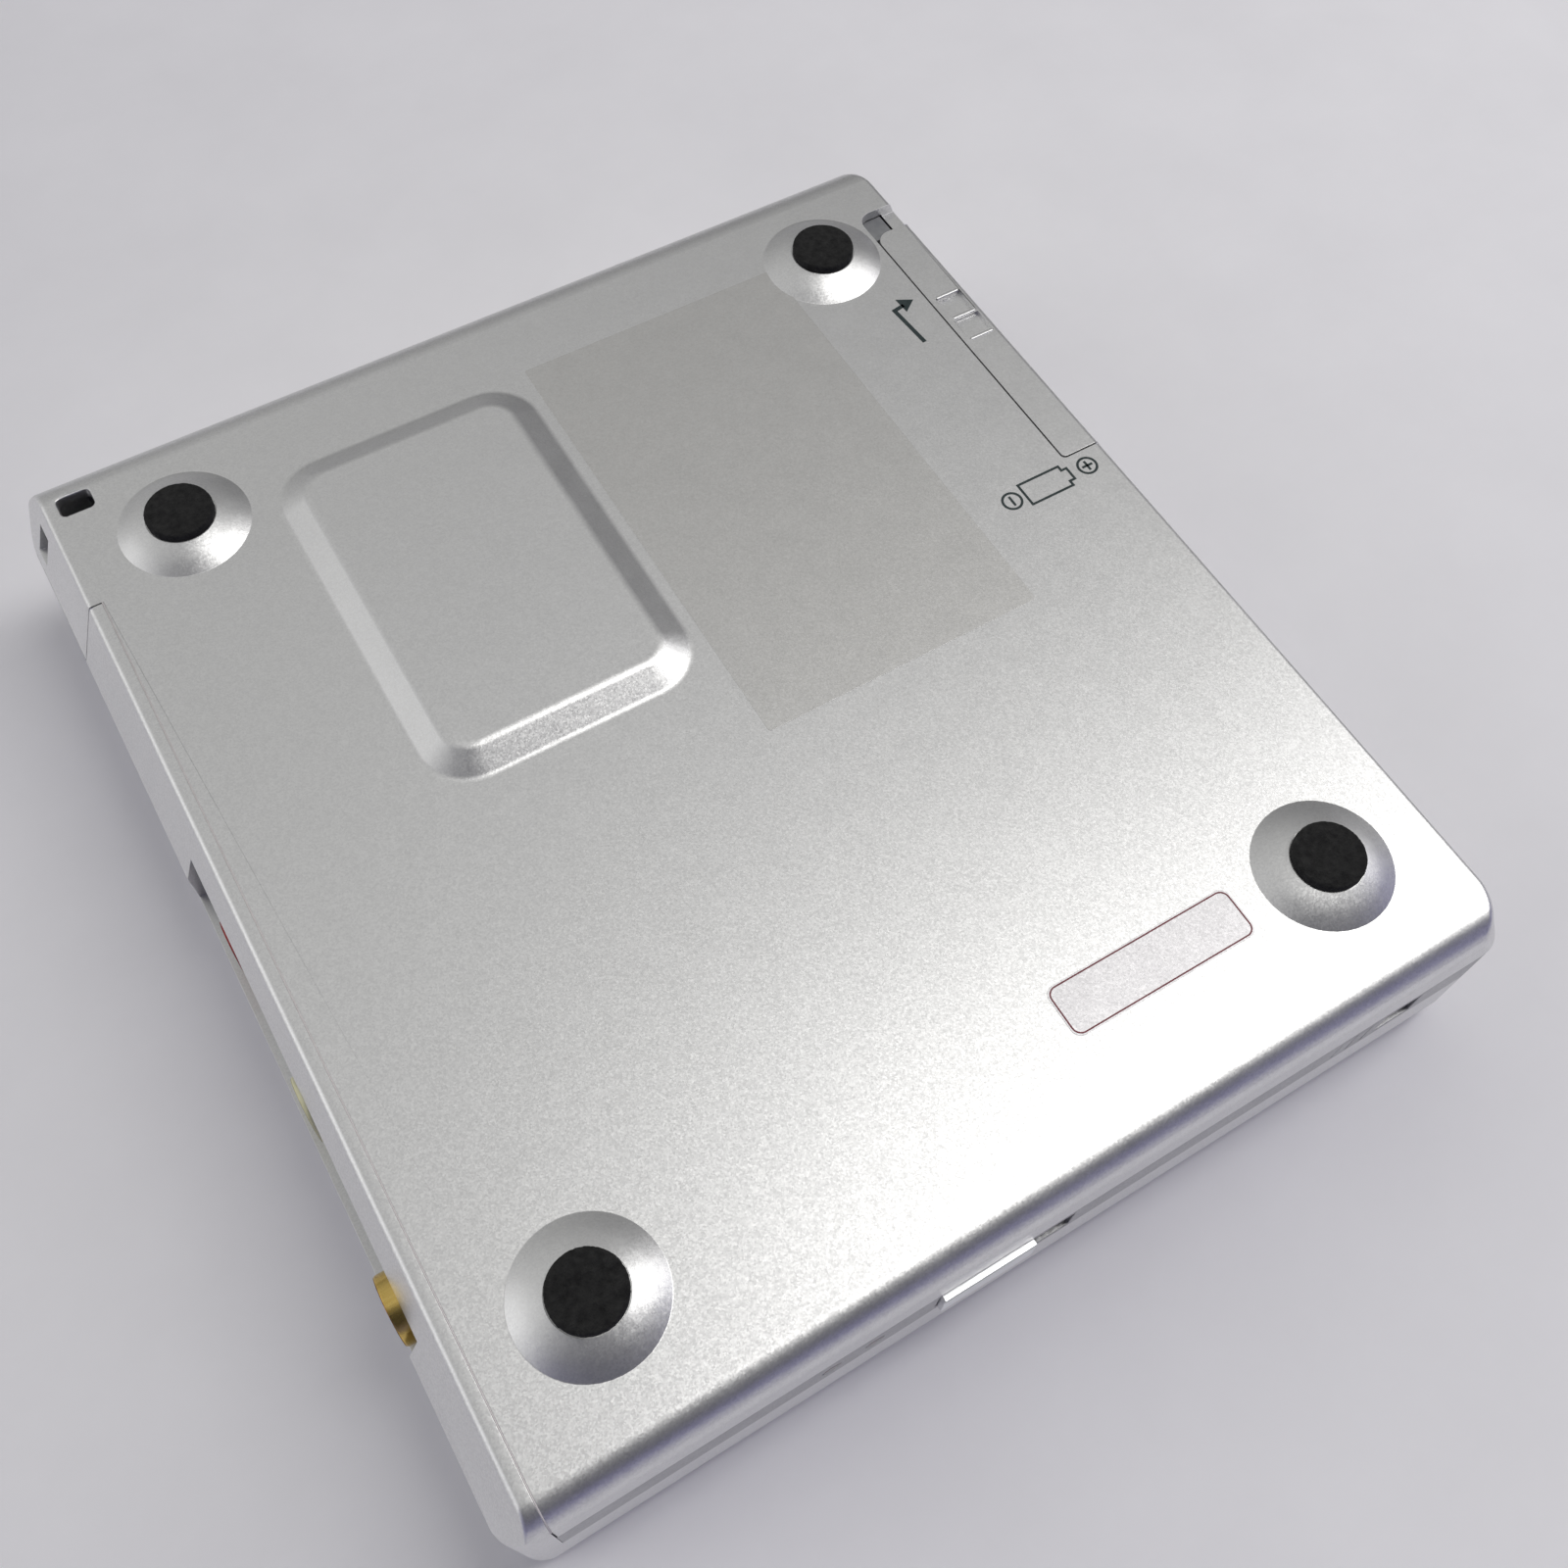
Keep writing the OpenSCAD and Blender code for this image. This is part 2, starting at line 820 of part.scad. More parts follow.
module battery() {
    color("#3a6ea5")
        translate([cell_x, cell_y, cell_z + cell_t / 2])
            rotate([90, 0, 90])
                linear_extrude(cell_l)
                    rounded(cell_w, cell_t, cell_round);
}

module battery_spring() {
    color("#c9b070")
        block([-wall_x + ring_in, cell_y - contact_w / 2, cell_z + gap],
            [cell_x, cell_y + contact_w / 2, cover_z]);
}

module battery_plate() {
    color("#c9b070")
        block([cell_x + cell_l + seam, cell_y - contact_w / 2, cell_z + gap],
            [wall_x - skin, cell_y + contact_w / 2, cover_z]);
}

module battery_door() {
    color("silver")
        difference() {
            union() {
                intersection() {
                    case_wall(0, skin, door_z0, case_h);
                    door_space(0, 0, 0);
                }
                translate([pivot_x, pivot_y, pivot_z0])
                    cylinder(h = knuckle_h, r = pivot_knuckle);
                block([pivot_x - pivot_knuckle, pivot_y, pivot_z0 + knuckle_h - eps],
                    [pivot_x, pivot_y + 2 * gap, case_h - skin + eps]);
            }
            translate([pivot_x, pivot_y, 0])
                cylinder(h = pivot_z0 + knuckle_h, r = pivot_r + fit);
            // Finger grooves with ribs left between them
            for (y = grip_y)
                block([door_x0 + 0.5, y, case_h - grip_depth], [face_w / 2 - 0.4, y + grip_w, case_h + 1]);
        }
}

module door_slider() {
    ear_t = pivot_z0 - seam - slider_z0;
    cap_z1 = case_h - skin - seam;
    color("#77797c")
        difference() {
            union() {
                block([slider_x0, pivot_y - pivot_knuckle, slider_z0],
                    [slider_x1, pivot_y + slider_l, slider_z0 + slider_h]);
                // Cap that fills the end of the door's opening, on its post
                block([slider_x1 - pivot_knuckle, pivot_y + pivot_knuckle + gap, slider_z0 + slider_h - eps],
                    [slider_x1, pivot_y + slider_l, cap_z1]);
                block([slider_x1 - pivot_knuckle, pivot_y + pivot_knuckle + gap, cap_z1 - cap_t],
                    [pivot_x, pivot_y + slider_l, cap_z1]);
                block([slider_x1 - eps, pivot_y - pivot_knuckle, slider_z0],
                    [pivot_x, pivot_y + pivot_knuckle, slider_z0 + ear_t]);
                translate([pivot_x, pivot_y, slider_z0])
                    cylinder(h = ear_t, r = pivot_knuckle);
            }
            translate([pivot_x, pivot_y, 0])
                cylinder(h = case_h, r = pivot_r);
        }
}

module door_hinge_pin() {
    color("#c8ccd0")
        translate([pivot_x, pivot_y, slider_z0])
            cylinder(h = pivot_z0 + knuckle_h - seam - slider_z0, r = pivot_r);
}

// The two upright tabs that hold the ends of a shaft along Y
module shaft_tabs(x, r) {
    for (y = [shaft_near, shaft_far - bracket_t])
        block([x - r - tab_t, y, deck_top - eps], [x + r + tab_t, y + bracket_t, drive_z + r + tab_t]);
}

module chassis_plate() {
    color("#aeb2b6")
        difference() {
            union() {
                block([-deck_x, shaft_near, deck_z], [deck_x, bay_near - gap, deck_top]);
                shaft_tabs(guide_x, guide_r);
                shaft_tabs(sub_x, sub_r);
                shaft_tabs(screw_x, screw_r - tab_t / 2);
                // Cradle of the feed motor
                block([pinion_x - feed_r / 2, feed_y + feed_l / 4, deck_top - eps],
                    [pinion_x + feed_r / 2, feed_y + 3 * feed_l / 4, drive_z - feed_r / 2]);
            }
            translate([0, disc_y, 0])
                cylinder(h = case_h, r = turntable_r + 0.6);
            block([-lens_window / 2, lens_y - pickup_travel - carriage_d / 2, 0],
                [lens_window / 2, lens_y + carriage_d / 2, deck_top + eps]);
            block([screw_x - gear_r - 2 * gap, gear_y - gap / 2, 0],
                [pinion_x + pinion_r + 2 * gap, gear_y + gear_t + gap, deck_top + eps]);
            rod_y([guide_x, shaft_near - 1, drive_z], shaft_far - shaft_near + 2, guide_r);
            rod_y([sub_x, shaft_near - 1, drive_z], shaft_far - shaft_near + 2, sub_r);
            rod_y([screw_x, shaft_near - 1, drive_z], shaft_far - shaft_near + 2, screw_r + fit);
            rod_y([pinion_x, feed_y - eps, drive_z], feed_l, feed_r + eps);
            for (p = lugs)
                translate([p[0], p[1], 0])
                    cylinder(h = case_h, r = screw_hole_r);
            // Notches for the sockets
            for (y = [headphone_y, dc_y, mic_y])
                block([-far_out, y - jack_w / 2 - gap, 0], [jack_back + gap, y + jack_w / 2 + gap, case_h]);
        }
}

module spindle_motor() {
    color("#8f9296")
        translate([0, disc_y, deck_top])
            difference() {
                cylinder(h = motor_h, r = motor_r);
                translate([0, 0, -1])
                    cylinder(h = motor_h, r = spindle_r + fit);
            }
}

module turntable() {
    color("#d4d7da")
        translate([0, disc_y, 0]) {
            translate([0, 0, table_z])
                cylinder(h = table_t, r = turntable_r);
            translate([0, 0, table_z + table_t - eps])
                cylinder(h = deck_top - seam - table_z - table_t, r = hub_r);
            translate([0, 0, table_z])
                cylinder(h = deck_top + motor_h - 1.5 - table_z, r = spindle_r);
        }
}

module guide_shaft() {
    color("#d8dadc")
        rod_y([guide_x, shaft_near, drive_z], shaft_far - shaft_near, guide_r);
}

module sub_guide_shaft() {
    color("#d8dadc")
        rod_y([sub_x, shaft_near, drive_z], shaft_far - shaft_near, sub_r);
}

// The feed screw: plain journals at both ends, a threaded stretch between them
module lead_screw() {
    turns = floor((shaft_far - shaft_near - 2 * bracket_t - 1) / thread_pitch);
    start = bracket_t + 0.5;
    full = gear_y + gear_t - shaft_near;
    thread = [
        for (i = [0:turns - 1], q = [[0, 0], [0, 0.5], [thread_d, 0.6], [thread_d, 0.9]])
            [screw_r - q[0], start + (i + q[1]) * thread_pitch]
    ];
    color("#d8dadc")
        translate([screw_x, shaft_near, drive_z])
            rotate([-90, 0, 0])
                rotate_extrude()
                    polygon(concat([[0, 0], [screw_r, 0]], thread, [[screw_r, full], [0, full]]));
}

// A straight-toothed wheel with a bore, facing along Y, turned by a share of one tooth
module toothed_wheel(teeth, r, bore, share) {
    step = 360 / teeth;
    flank = [[-0.3, -tooth_in], [-0.11, tooth_out], [0.11, tooth_out], [0.3, -tooth_in]];
    rotate([-90, 0, 0])
        linear_extrude(gear_t)
            difference() {
                polygon([
                    for (i = [0:teeth - 1], q = flank)
                        (r + q[1]) * [cos((i + q[0] + share) * step), sin((i + q[0] + share) * step)]
                ]);
                circle(bore);
            }
}

module feed_gear() {
    color("#e8e4d8")
        translate([screw_x, gear_y, drive_z])
            toothed_wheel(gear_teeth, gear_r, screw_r, 0);
}

module motor_pinion() {
    color("#c9b070")
        translate([pinion_x, gear_y, drive_z])
            toothed_wheel(pinion_teeth, pinion_r, feed_shaft_r + fit, 0.5 + (pinion_teeth % 2) / 2);
}

module feed_motor() {
    color("#a4a8ac")
        union() {
            rod_y([pinion_x, feed_y, drive_z], feed_l, feed_r);
            rod_y([pinion_x, feed_y, drive_z], gear_y + gear_t - feed_y, feed_shaft_r);
        }
}

module pickup_body() {
    color("#6c6f73")
        difference() {
            block([carriage_x0, lens_y - carriage_d / 2, carriage_z0],
                [carriage_x1, lens_y + carriage_d / 2, carriage_z1]);
            rod_y([guide_x, -far_out, drive_z], 2 * far_out, guide_r + fit);
            // Fork that rides on the thin shaft
            block([carriage_x0 - 1, -far_out, drive_z - sub_r - seam],
                [sub_x + sub_r + seam, far_out, drive_z + sub_r + seam]);
            translate([0, lens_y, 0])
                cylinder(h = lens_seat, r = lens_r);
        }
}

module objective_lens() {
    color("#7fa6b8")
        translate([0, lens_y, deck_z])
            cylinder(h = lens_seat - deck_z, r = lens_r);
}

module feed_nut() {
    color("#e8e4d8")
        block([carriage_x1, lens_y - nut_w / 2, drive_z - nut_h / 2],
            [screw_x - screw_r - seam, lens_y + nut_w / 2, drive_z + nut_h / 2]);
}

module disc_holder() {
    w = slot_w / 2 + holder_t;
    color("#b9bdc1")
        difference() {
            union() {
                block([-w, slot_near + seam, holder_z], [w, slot_far + holder_t, slot_z]);
                for (x = [-w, w - holder_t])
                    block([x, slot_near + seam, holder_z], [x + holder_t, flange_far, lip_z + holder_t]);
                for (x = [-w, w - lip_w])
                    block([x, slot_near + seam, lip_z], [x + lip_w, flange_far, lip_z + holder_t]);
                for (x = [-holder_arm_x - holder_arm_w, holder_arm_x]) {
                    block([x, slot_far, lip_z - 1], [x + holder_arm_w, hinge_y, lip_z + holder_t]);
                    rod_x([x, hinge_y, hinge_z], holder_arm_w, knuckle_r - seam);
                }
                block([-holder_arm_x - holder_arm_w, slot_far, holder_z],
                    [holder_arm_x + holder_arm_w, slot_far + holder_t, lip_z]);
            }
            rod_x([-pin_out, hinge_y, hinge_z], 2 * pin_out, pin_r + fit);
            block([-head_w / 2 - 1, lens_y - pickup_travel - head_d, 0],
                [head_w / 2 + 1, lens_y + head_d, slot_z + eps]);
        }
}

module holder_springs() {
    color("#c4c8cc")
        for (s = [-1, 1])
            translate([s * spring_x - spring_w / 2, 0, 0])
                block([0, spring_y, holder_z - leaf_t], [spring_w, spring_y + leaf_l, holder_z]);
}

module head_arm() {
    color("#c4c8cc")
        union() {
            block([-head_w / 2, lens_y - head_d / 2, arm_z], [arm_l, lens_y + head_d / 2, arm_z + arm_t]);
            for (x = [arm_l / 3, arm_l - shoe_w])
                block([x, lens_y - head_d / 2, arm_z], [x + shoe_w, lens_y + head_d / 2, holder_z]);
        }
}

module magnetic_head() {
    color("#2c2e30")
        block([-head_w / 2, lens_y - head_d / 2, arm_z + arm_t], [head_w / 2, lens_y + head_d / 2, slot_z]);
}

// A shallow upright groove in the record switch
module finger_groove(x) {
    block([x - seam, near_y - 1, knob_z - 1], [x + seam, near_y + 2 * seam, case_h]);
}

module open_knob() {
    color("#d6d9dc")
        block([knob_x, near_y - knob_out, knob_z], [knob_x + knob_w, latch_y, knob_top]);
}

module latch_plate() {
    color("#aeb2b6")
        union() {
            block([knob_x - hook_w, latch_y, knob_z], [knob_x + knob_w, latch_y + latch_t, knob_top]);
            block([knob_x - hook_w, latch_y, split_z - 2],
                [knob_x - hook_w / 3, latch_y + latch_t, knob_z + eps]);
        }
}

module latch_spring() {
    color("#d8dadc")
        difference() {
            rod_x([knob_x + knob_w, latch_y + latch_t / 2, light_z], spring_l, latch_t / 2);
            rod_x([knob_x + knob_w - 1, latch_y + latch_t / 2, light_z], spring_l + 2, latch_t / 4);
        }
}

module rec_switch() {
    color("#c6c9cc")
        difference() {
            block([switch_x, near_y, knob_z], [switch_x + switch_w, near_y + ring_in, knob_top]);
            for (i = [1:2])
                finger_groove(switch_x + i * switch_w / 3);
        }
}

module indicator_lights() {
    color("#301818")
        for (x = lights_x)
            rod_y([x, near_y, light_z], ring_in, light_r);
}

bottom_cover();
rubber_feet();
base_frame();
left_side_panel();
hinge_pins();
lid_panel();
lid_frame();
display_window();
display_module();
control_flex();
play_button();
stop_button();
back_button();
forward_button();
headphone_jack();
mic_jack();
dc_jack();
headphone_ring();
mic_ring();
dc_ring();
light_port();
main_board();
board_chips();
shield_can();
board_screws();
battery();
battery_spring();
battery_door();
battery_plate();
door_slider();
door_hinge_pin();
chassis_plate();
dampers();
chassis_screws();
spindle_motor();
turntable();
guide_shaft();
sub_guide_shaft();
lead_screw();
feed_gear();
feed_motor();
motor_pinion();
pickup_body();
objective_lens();
feed_nut();
disc_holder();
holder_springs();
head_arm();
magnetic_head();
open_knob();
latch_plate();
latch_spring();
rec_switch();
indicator_lights();
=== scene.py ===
import math

import bmesh
import bpy
from mathutils import Matrix, Vector, noise


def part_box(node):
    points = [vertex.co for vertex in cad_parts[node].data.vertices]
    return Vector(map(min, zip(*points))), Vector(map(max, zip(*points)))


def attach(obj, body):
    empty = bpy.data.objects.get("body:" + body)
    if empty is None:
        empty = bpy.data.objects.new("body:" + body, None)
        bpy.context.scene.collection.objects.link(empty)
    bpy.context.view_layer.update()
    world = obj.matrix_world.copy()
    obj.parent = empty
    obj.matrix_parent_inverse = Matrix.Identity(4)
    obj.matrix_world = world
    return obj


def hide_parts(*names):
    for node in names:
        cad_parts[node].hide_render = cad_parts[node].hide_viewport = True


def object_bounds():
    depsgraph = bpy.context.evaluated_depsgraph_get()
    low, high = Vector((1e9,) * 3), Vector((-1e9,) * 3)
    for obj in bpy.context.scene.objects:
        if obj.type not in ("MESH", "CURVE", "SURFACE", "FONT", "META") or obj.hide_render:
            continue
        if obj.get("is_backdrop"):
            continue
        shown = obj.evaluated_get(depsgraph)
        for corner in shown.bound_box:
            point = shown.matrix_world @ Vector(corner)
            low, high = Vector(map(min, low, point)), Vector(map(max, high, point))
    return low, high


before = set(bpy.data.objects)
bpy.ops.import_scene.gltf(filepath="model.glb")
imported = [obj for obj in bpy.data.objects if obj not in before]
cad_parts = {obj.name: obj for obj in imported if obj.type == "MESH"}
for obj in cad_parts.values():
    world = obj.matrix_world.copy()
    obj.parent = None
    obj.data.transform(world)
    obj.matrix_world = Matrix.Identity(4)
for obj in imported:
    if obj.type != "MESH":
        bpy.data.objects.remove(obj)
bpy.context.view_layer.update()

# Lid panel
# A drawn aluminium shell with round long edges, sprayed with silver flake paint. The recorder lies on it.
# Four round keys and the display window are let into it from behind.
MM = 0.001


def copied_mesh(node):
    """A clean copy of a CAD node's mesh: loose triangles become whole flat faces."""
    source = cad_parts[node].data
    weld = 0.002 * MM
    flat_limit = math.radians(0.4)
    shape = bmesh.new()
    points = [shape.verts.new(v.co) for v in source.vertices]
    for face in source.polygons:
        corners = [points[i] for i in face.vertices]
        if len(set(corners)) == len(corners):
            shape.faces.new(corners)
    bmesh.ops.remove_doubles(shape, verts=shape.verts, dist=weld)
    bmesh.ops.dissolve_degenerate(shape, edges=shape.edges, dist=weld)
    bmesh.ops.dissolve_limit(shape, angle_limit=flat_limit, verts=shape.verts, edges=shape.edges)
    return shape


def placed(shape, name, body, material):
    """Turns a finished bmesh into a piece that rides on its body."""
    mesh = bpy.data.meshes.new(name)
    shape.to_mesh(mesh)
    shape.free()
    mesh.materials.append(material)
    for face in mesh.polygons:
        face.use_smooth = True
    piece = bpy.data.objects.new(name, mesh)
    bpy.context.scene.collection.objects.link(piece)
    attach(piece, body)
    return piece


def applied(piece):
    """Swaps a piece's mesh for what its modifiers make of it."""
    bpy.context.view_layer.update()
    result = bpy.data.meshes.new_from_object(piece.evaluated_get(bpy.context.evaluated_depsgraph_get()))
    piece.modifiers.clear()
    piece.data = result
    return result


def settled(piece):
    """Applies a piece's modifiers. Broad faces stay flat to their edges, and sharp corners stay crisp."""
    broad_width = 1.2 * MM
    same_plane = math.radians(0.1)
    crisp_angle = math.radians(36)
    rim_angle = 1.0
    result = applied(piece)
    shape = bmesh.new()
    shape.from_mesh(result)
    broad = set()
    for face in shape.faces:
        face.smooth = True
        if face.calc_area() > broad_width * max(edge.calc_length() for edge in face.edges):
            broad.add(face)
    front = list(broad)
    while front:
        for edge in front.pop().edges:
            if edge.calc_face_angle(rim_angle) < same_plane:
                for face in edge.link_faces:
                    if face not in broad:
                        broad.add(face)
                        front.append(face)
    for edge in shape.edges:
        edge.smooth = edge.calc_face_angle(rim_angle) < crisp_angle
    leans = {}
    for vert in shape.verts:
        left = list(vert.link_faces)
        while left:
            fan = [left.pop()]
            for face in fan:
                for edge in face.edges:
                    if edge.smooth and vert in edge.verts:
                        fan += [other for other in edge.link_faces if other in left]
                        left = [other for other in left if other not in fan]
            guides = [face for face in fan if face in broad] or fan
            lean = sum((face.normal * face.calc_area() for face in guides), Vector()).normalized()
            for face in fan:
                leans[face.index, vert.index] = face.normal.copy() if face in broad else lean
    shape.to_mesh(result)
    shape.free()
    corners = [(face.index, i) for face in result.polygons for i in face.vertices]
    result.normals_split_custom_set([leans[corner] for corner in corners])
    return piece


def eased(piece, width, segments=2):
    """Rounds the marked edges of a piece."""
    ease = piece.modifiers.new("eased_edges", "BEVEL")
    ease.width = width * MM
    ease.segments = segments
    ease.limit_method = "WEIGHT"
    ease.use_clamp_overlap = False
    ease.miter_outer = "MITER_ARC"
    return settled(piece)


def marked(shape, width, share=1.0, wide=None):
    """Gives every sharp edge a share of the rounding, or what wide() says, and less where room is short."""
    crease = math.radians(25)
    most_room = 9 * width * MM
    full_room = 2.3 * width * MM
    in_line = 0.9
    growth = 0.015 / width
    sweeps = 24
    weight = shape.edges.layers.float.new("bevel_weight_edge")
    joints = [edge for edge in shape.edges if len(edge.link_faces) == 2]
    sharp = [edge for edge in joints if edge.calc_face_angle() > crease]
    runs = {edge: [] for edge in sharp}
    for edge in sharp:
        asked = wide((edge.verts[0].co + edge.verts[1].co) / 2 / MM) if wide else None
        along = (edge.verts[1].co - edge.verts[0].co).normalized()
        room = most_room
        for other in (set(edge.verts[0].link_edges) | set(edge.verts[1].link_edges)) - {edge}:
            if abs(along.dot((other.verts[1].co - other.verts[0].co).normalized())) < in_line:
                room = min(room, other.calc_length())
            elif other in runs:
                runs[edge].append(other)
        edge[weight] = min(asked or share, room / full_room)
    for _ in range(sweeps):
        for edge in sharp:
            for other in runs[edge]:
                edge[weight] = min(edge[weight], other[weight] + growth)


def dressed(node, name, body, material, width=0.08, share=1.0, wide=None):
    """A CAD node's own shape with its edges eased, in place of the node."""
    shape = copied_mesh(node)
    marked(shape, width, share, wide)
    piece = eased(placed(shape, name, body, material), width)
    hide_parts(node)


def effect(name, inputs, outputs):
    """An empty shader node group with named sockets."""
    tree = bpy.data.node_groups.new(name, "ShaderNodeTree")
    for label, kind, value in inputs:
        socket = tree.interface.new_socket(label, in_out="INPUT", socket_type=kind)
        socket.default_value = value
    for label, kind in outputs:
        tree.interface.new_socket(label, in_out="OUTPUT", socket_type=kind)
    return tree, tree.nodes.new("NodeGroupInput"), tree.nodes.new("NodeGroupOutput")


# Metal flakes in paint: each small cell is a little lighter or darker and leans its own way
flakes, flakes_in, flakes_out = effect(
    "paint_flakes",
    [("Size", "NodeSocketFloat", 6500.0), ("Lean", "NodeSocketFloat", 0.1)],
    [("Shade", "NodeSocketFloat"), ("Normal", "NodeSocketVector")],
)
where = flakes.nodes.new("ShaderNodeTexCoord")
cells = flakes.nodes.new("ShaderNodeTexVoronoi")
flakes.links.new(where.outputs["Object"], cells.inputs["Vector"])
flakes.links.new(flakes_in.outputs["Size"], cells.inputs["Scale"])
centred = flakes.nodes.new("ShaderNodeVectorMath")
centred.operation = "SUBTRACT"
centred.inputs[1].default_value = (0.5, 0.5, 0.5)
flakes.links.new(cells.outputs["Color"], centred.inputs[0])
leant = flakes.nodes.new("ShaderNodeVectorMath")
leant.operation = "SCALE"
flakes.links.new(centred.outputs["Vector"], leant.inputs[0])
flakes.links.new(flakes_in.outputs["Lean"], leant.inputs["Scale"])
surface = flakes.nodes.new("ShaderNodeNewGeometry")
summed = flakes.nodes.new("ShaderNodeVectorMath")
summed.operation = "ADD"
flakes.links.new(surface.outputs["Normal"], summed.inputs[0])
flakes.links.new(leant.outputs["Vector"], summed.inputs[1])
unit = flakes.nodes.new("ShaderNodeVectorMath")
unit.operation = "NORMALIZE"
flakes.links.new(summed.outputs["Vector"], unit.inputs[0])
flakes.links.new(unit.outputs["Vector"], flakes_out.inputs["Normal"])
parted = flakes.nodes.new("ShaderNodeSeparateColor")
flakes.links.new(cells.outputs["Color"], parted.inputs["Color"])
flakes.links.new(parted.outputs["Red"], flakes_out.inputs["Shade"])

# Uneven tone: soft cloudy mottling with finer grain inside it
mottle, mottle_in, mottle_out = effect(
    "mottle", [("Size", "NodeSocketFloat", 900.0)], [("Shade", "NodeSocketFloat")]
)
where = mottle.nodes.new("ShaderNodeTexCoord")
cloud = mottle.nodes.new("ShaderNodeTexNoise")
cloud.inputs["Detail"].default_value = 5.0
cloud.inputs["Roughness"].default_value = 0.62
mottle.links.new(where.outputs["Object"], cloud.inputs["Vector"])
mottle.links.new(mottle_in.outputs["Size"], cloud.inputs["Scale"])
spread = mottle.nodes.new("ShaderNodeMapRange")
spread.inputs["From Min"].default_value = 0.3
spread.inputs["From Max"].default_value = 0.7
mottle.links.new(cloud.outputs["Fac"], spread.inputs["Value"])
mottle.links.new(spread.outputs["Result"], mottle_out.inputs["Shade"])

# Edge sheen and wear: a broken light line painted on sharp corners, part painted highlight along the edges
# and part paint rubbed thin there
edge_sheen_wear, edge_sheen_wear_in, edge_sheen_wear_out = effect(
    "edge_sheen_and_wear", [("Size", "NodeSocketFloat", 700.0)], [("Mask", "NodeSocketFloat")]
)
surface = edge_sheen_wear.nodes.new("ShaderNodeNewGeometry")
corner = edge_sheen_wear.nodes.new("ShaderNodeMapRange")
corner.inputs["From Min"].default_value = 0.56
corner.inputs["From Max"].default_value = 0.72
edge_sheen_wear.links.new(surface.outputs["Pointiness"], corner.inputs["Value"])
where = edge_sheen_wear.nodes.new("ShaderNodeTexCoord")
patchy = edge_sheen_wear.nodes.new("ShaderNodeTexNoise")
patchy.inputs["Detail"].default_value = 3.0
edge_sheen_wear.links.new(where.outputs["Object"], patchy.inputs["Vector"])
edge_sheen_wear.links.new(edge_sheen_wear_in.outputs["Size"], patchy.inputs["Scale"])
broken = edge_sheen_wear.nodes.new("ShaderNodeMath")
broken.operation = "MULTIPLY"
edge_sheen_wear.links.new(corner.outputs["Result"], broken.inputs[0])
edge_sheen_wear.links.new(patchy.outputs["Fac"], broken.inputs[1])
# Level faces get none of the painted edge light
upright = edge_sheen_wear.nodes.new("ShaderNodeSeparateXYZ")
edge_sheen_wear.links.new(where.outputs["Normal"], upright.inputs["Vector"])
level = edge_sheen_wear.nodes.new("ShaderNodeMath")
level.operation = "ABSOLUTE"
edge_sheen_wear.links.new(upright.outputs["Z"], level.inputs[0])
bent = edge_sheen_wear.nodes.new("ShaderNodeMapRange")
bent.inputs["From Min"].default_value = 0.999
bent.inputs["From Max"].default_value = 0.99
edge_sheen_wear.links.new(level.outputs["Value"], bent.inputs["Value"])
kept_marks = edge_sheen_wear.nodes.new("ShaderNodeMath")
kept_marks.operation = "MULTIPLY"
edge_sheen_wear.links.new(broken.outputs["Value"], kept_marks.inputs[0])
edge_sheen_wear.links.new(bent.outputs["Result"], kept_marks.inputs[1])
edge_sheen_wear.links.new(kept_marks.outputs["Value"], edge_sheen_wear_out.inputs["Mask"])


def grouped(material, tree, **values):
    """A shared effect placed in a material with its own values."""
    node = material.node_tree.nodes.new("ShaderNodeGroup")
    node.node_tree = tree
    for label, value in values.items():
        node.inputs[label].default_value = value
    return node


def toned(material, share, dark, light):
    """A colour between two tones, by a share that changes over the surface."""
    node = material.node_tree.nodes.new("ShaderNodeMix")
    node.data_type = "RGBA"
    node.inputs["A"].default_value = (*dark, 1.0)
    node.inputs["B"].default_value = (*light, 1.0)
    material.node_tree.links.new(share, node.inputs["Factor"])
    return node.outputs["Result"]


def ranged(material, share, low, high):
    """A number between two ends, by a share that changes over the surface."""
    node = material.node_tree.nodes.new("ShaderNodeMapRange")
    node.inputs["To Min"].default_value = low
    node.inputs["To Max"].default_value = high
    material.node_tree.links.new(share, node.inputs["Value"])
    return node.outputs["Result"]


def embossed(material, height, depth, normal=None):
    """A bump of so many millimetres, on top of a normal."""
    node = material.node_tree.nodes.new("ShaderNodeBump")
    node.inputs["Strength"].default_value = 1.0
    node.inputs["Distance"].default_value = depth * MM
    material.node_tree.links.new(height, node.inputs["Height"])
    if normal:
        material.node_tree.links.new(normal, node.inputs["Normal"])
    return node.outputs["Normal"]


def bare_material(name, **constants):
    """A new material with its plain shader values set, its shader and its links."""
    material = bpy.data.materials.new(name)
    material.use_nodes = True
    shader = material.node_tree.nodes["Principled BSDF"]
    for label, value in constants.items():
        shader.inputs[label.replace("_", " ")].default_value = value
    return material, shader, material.node_tree.links


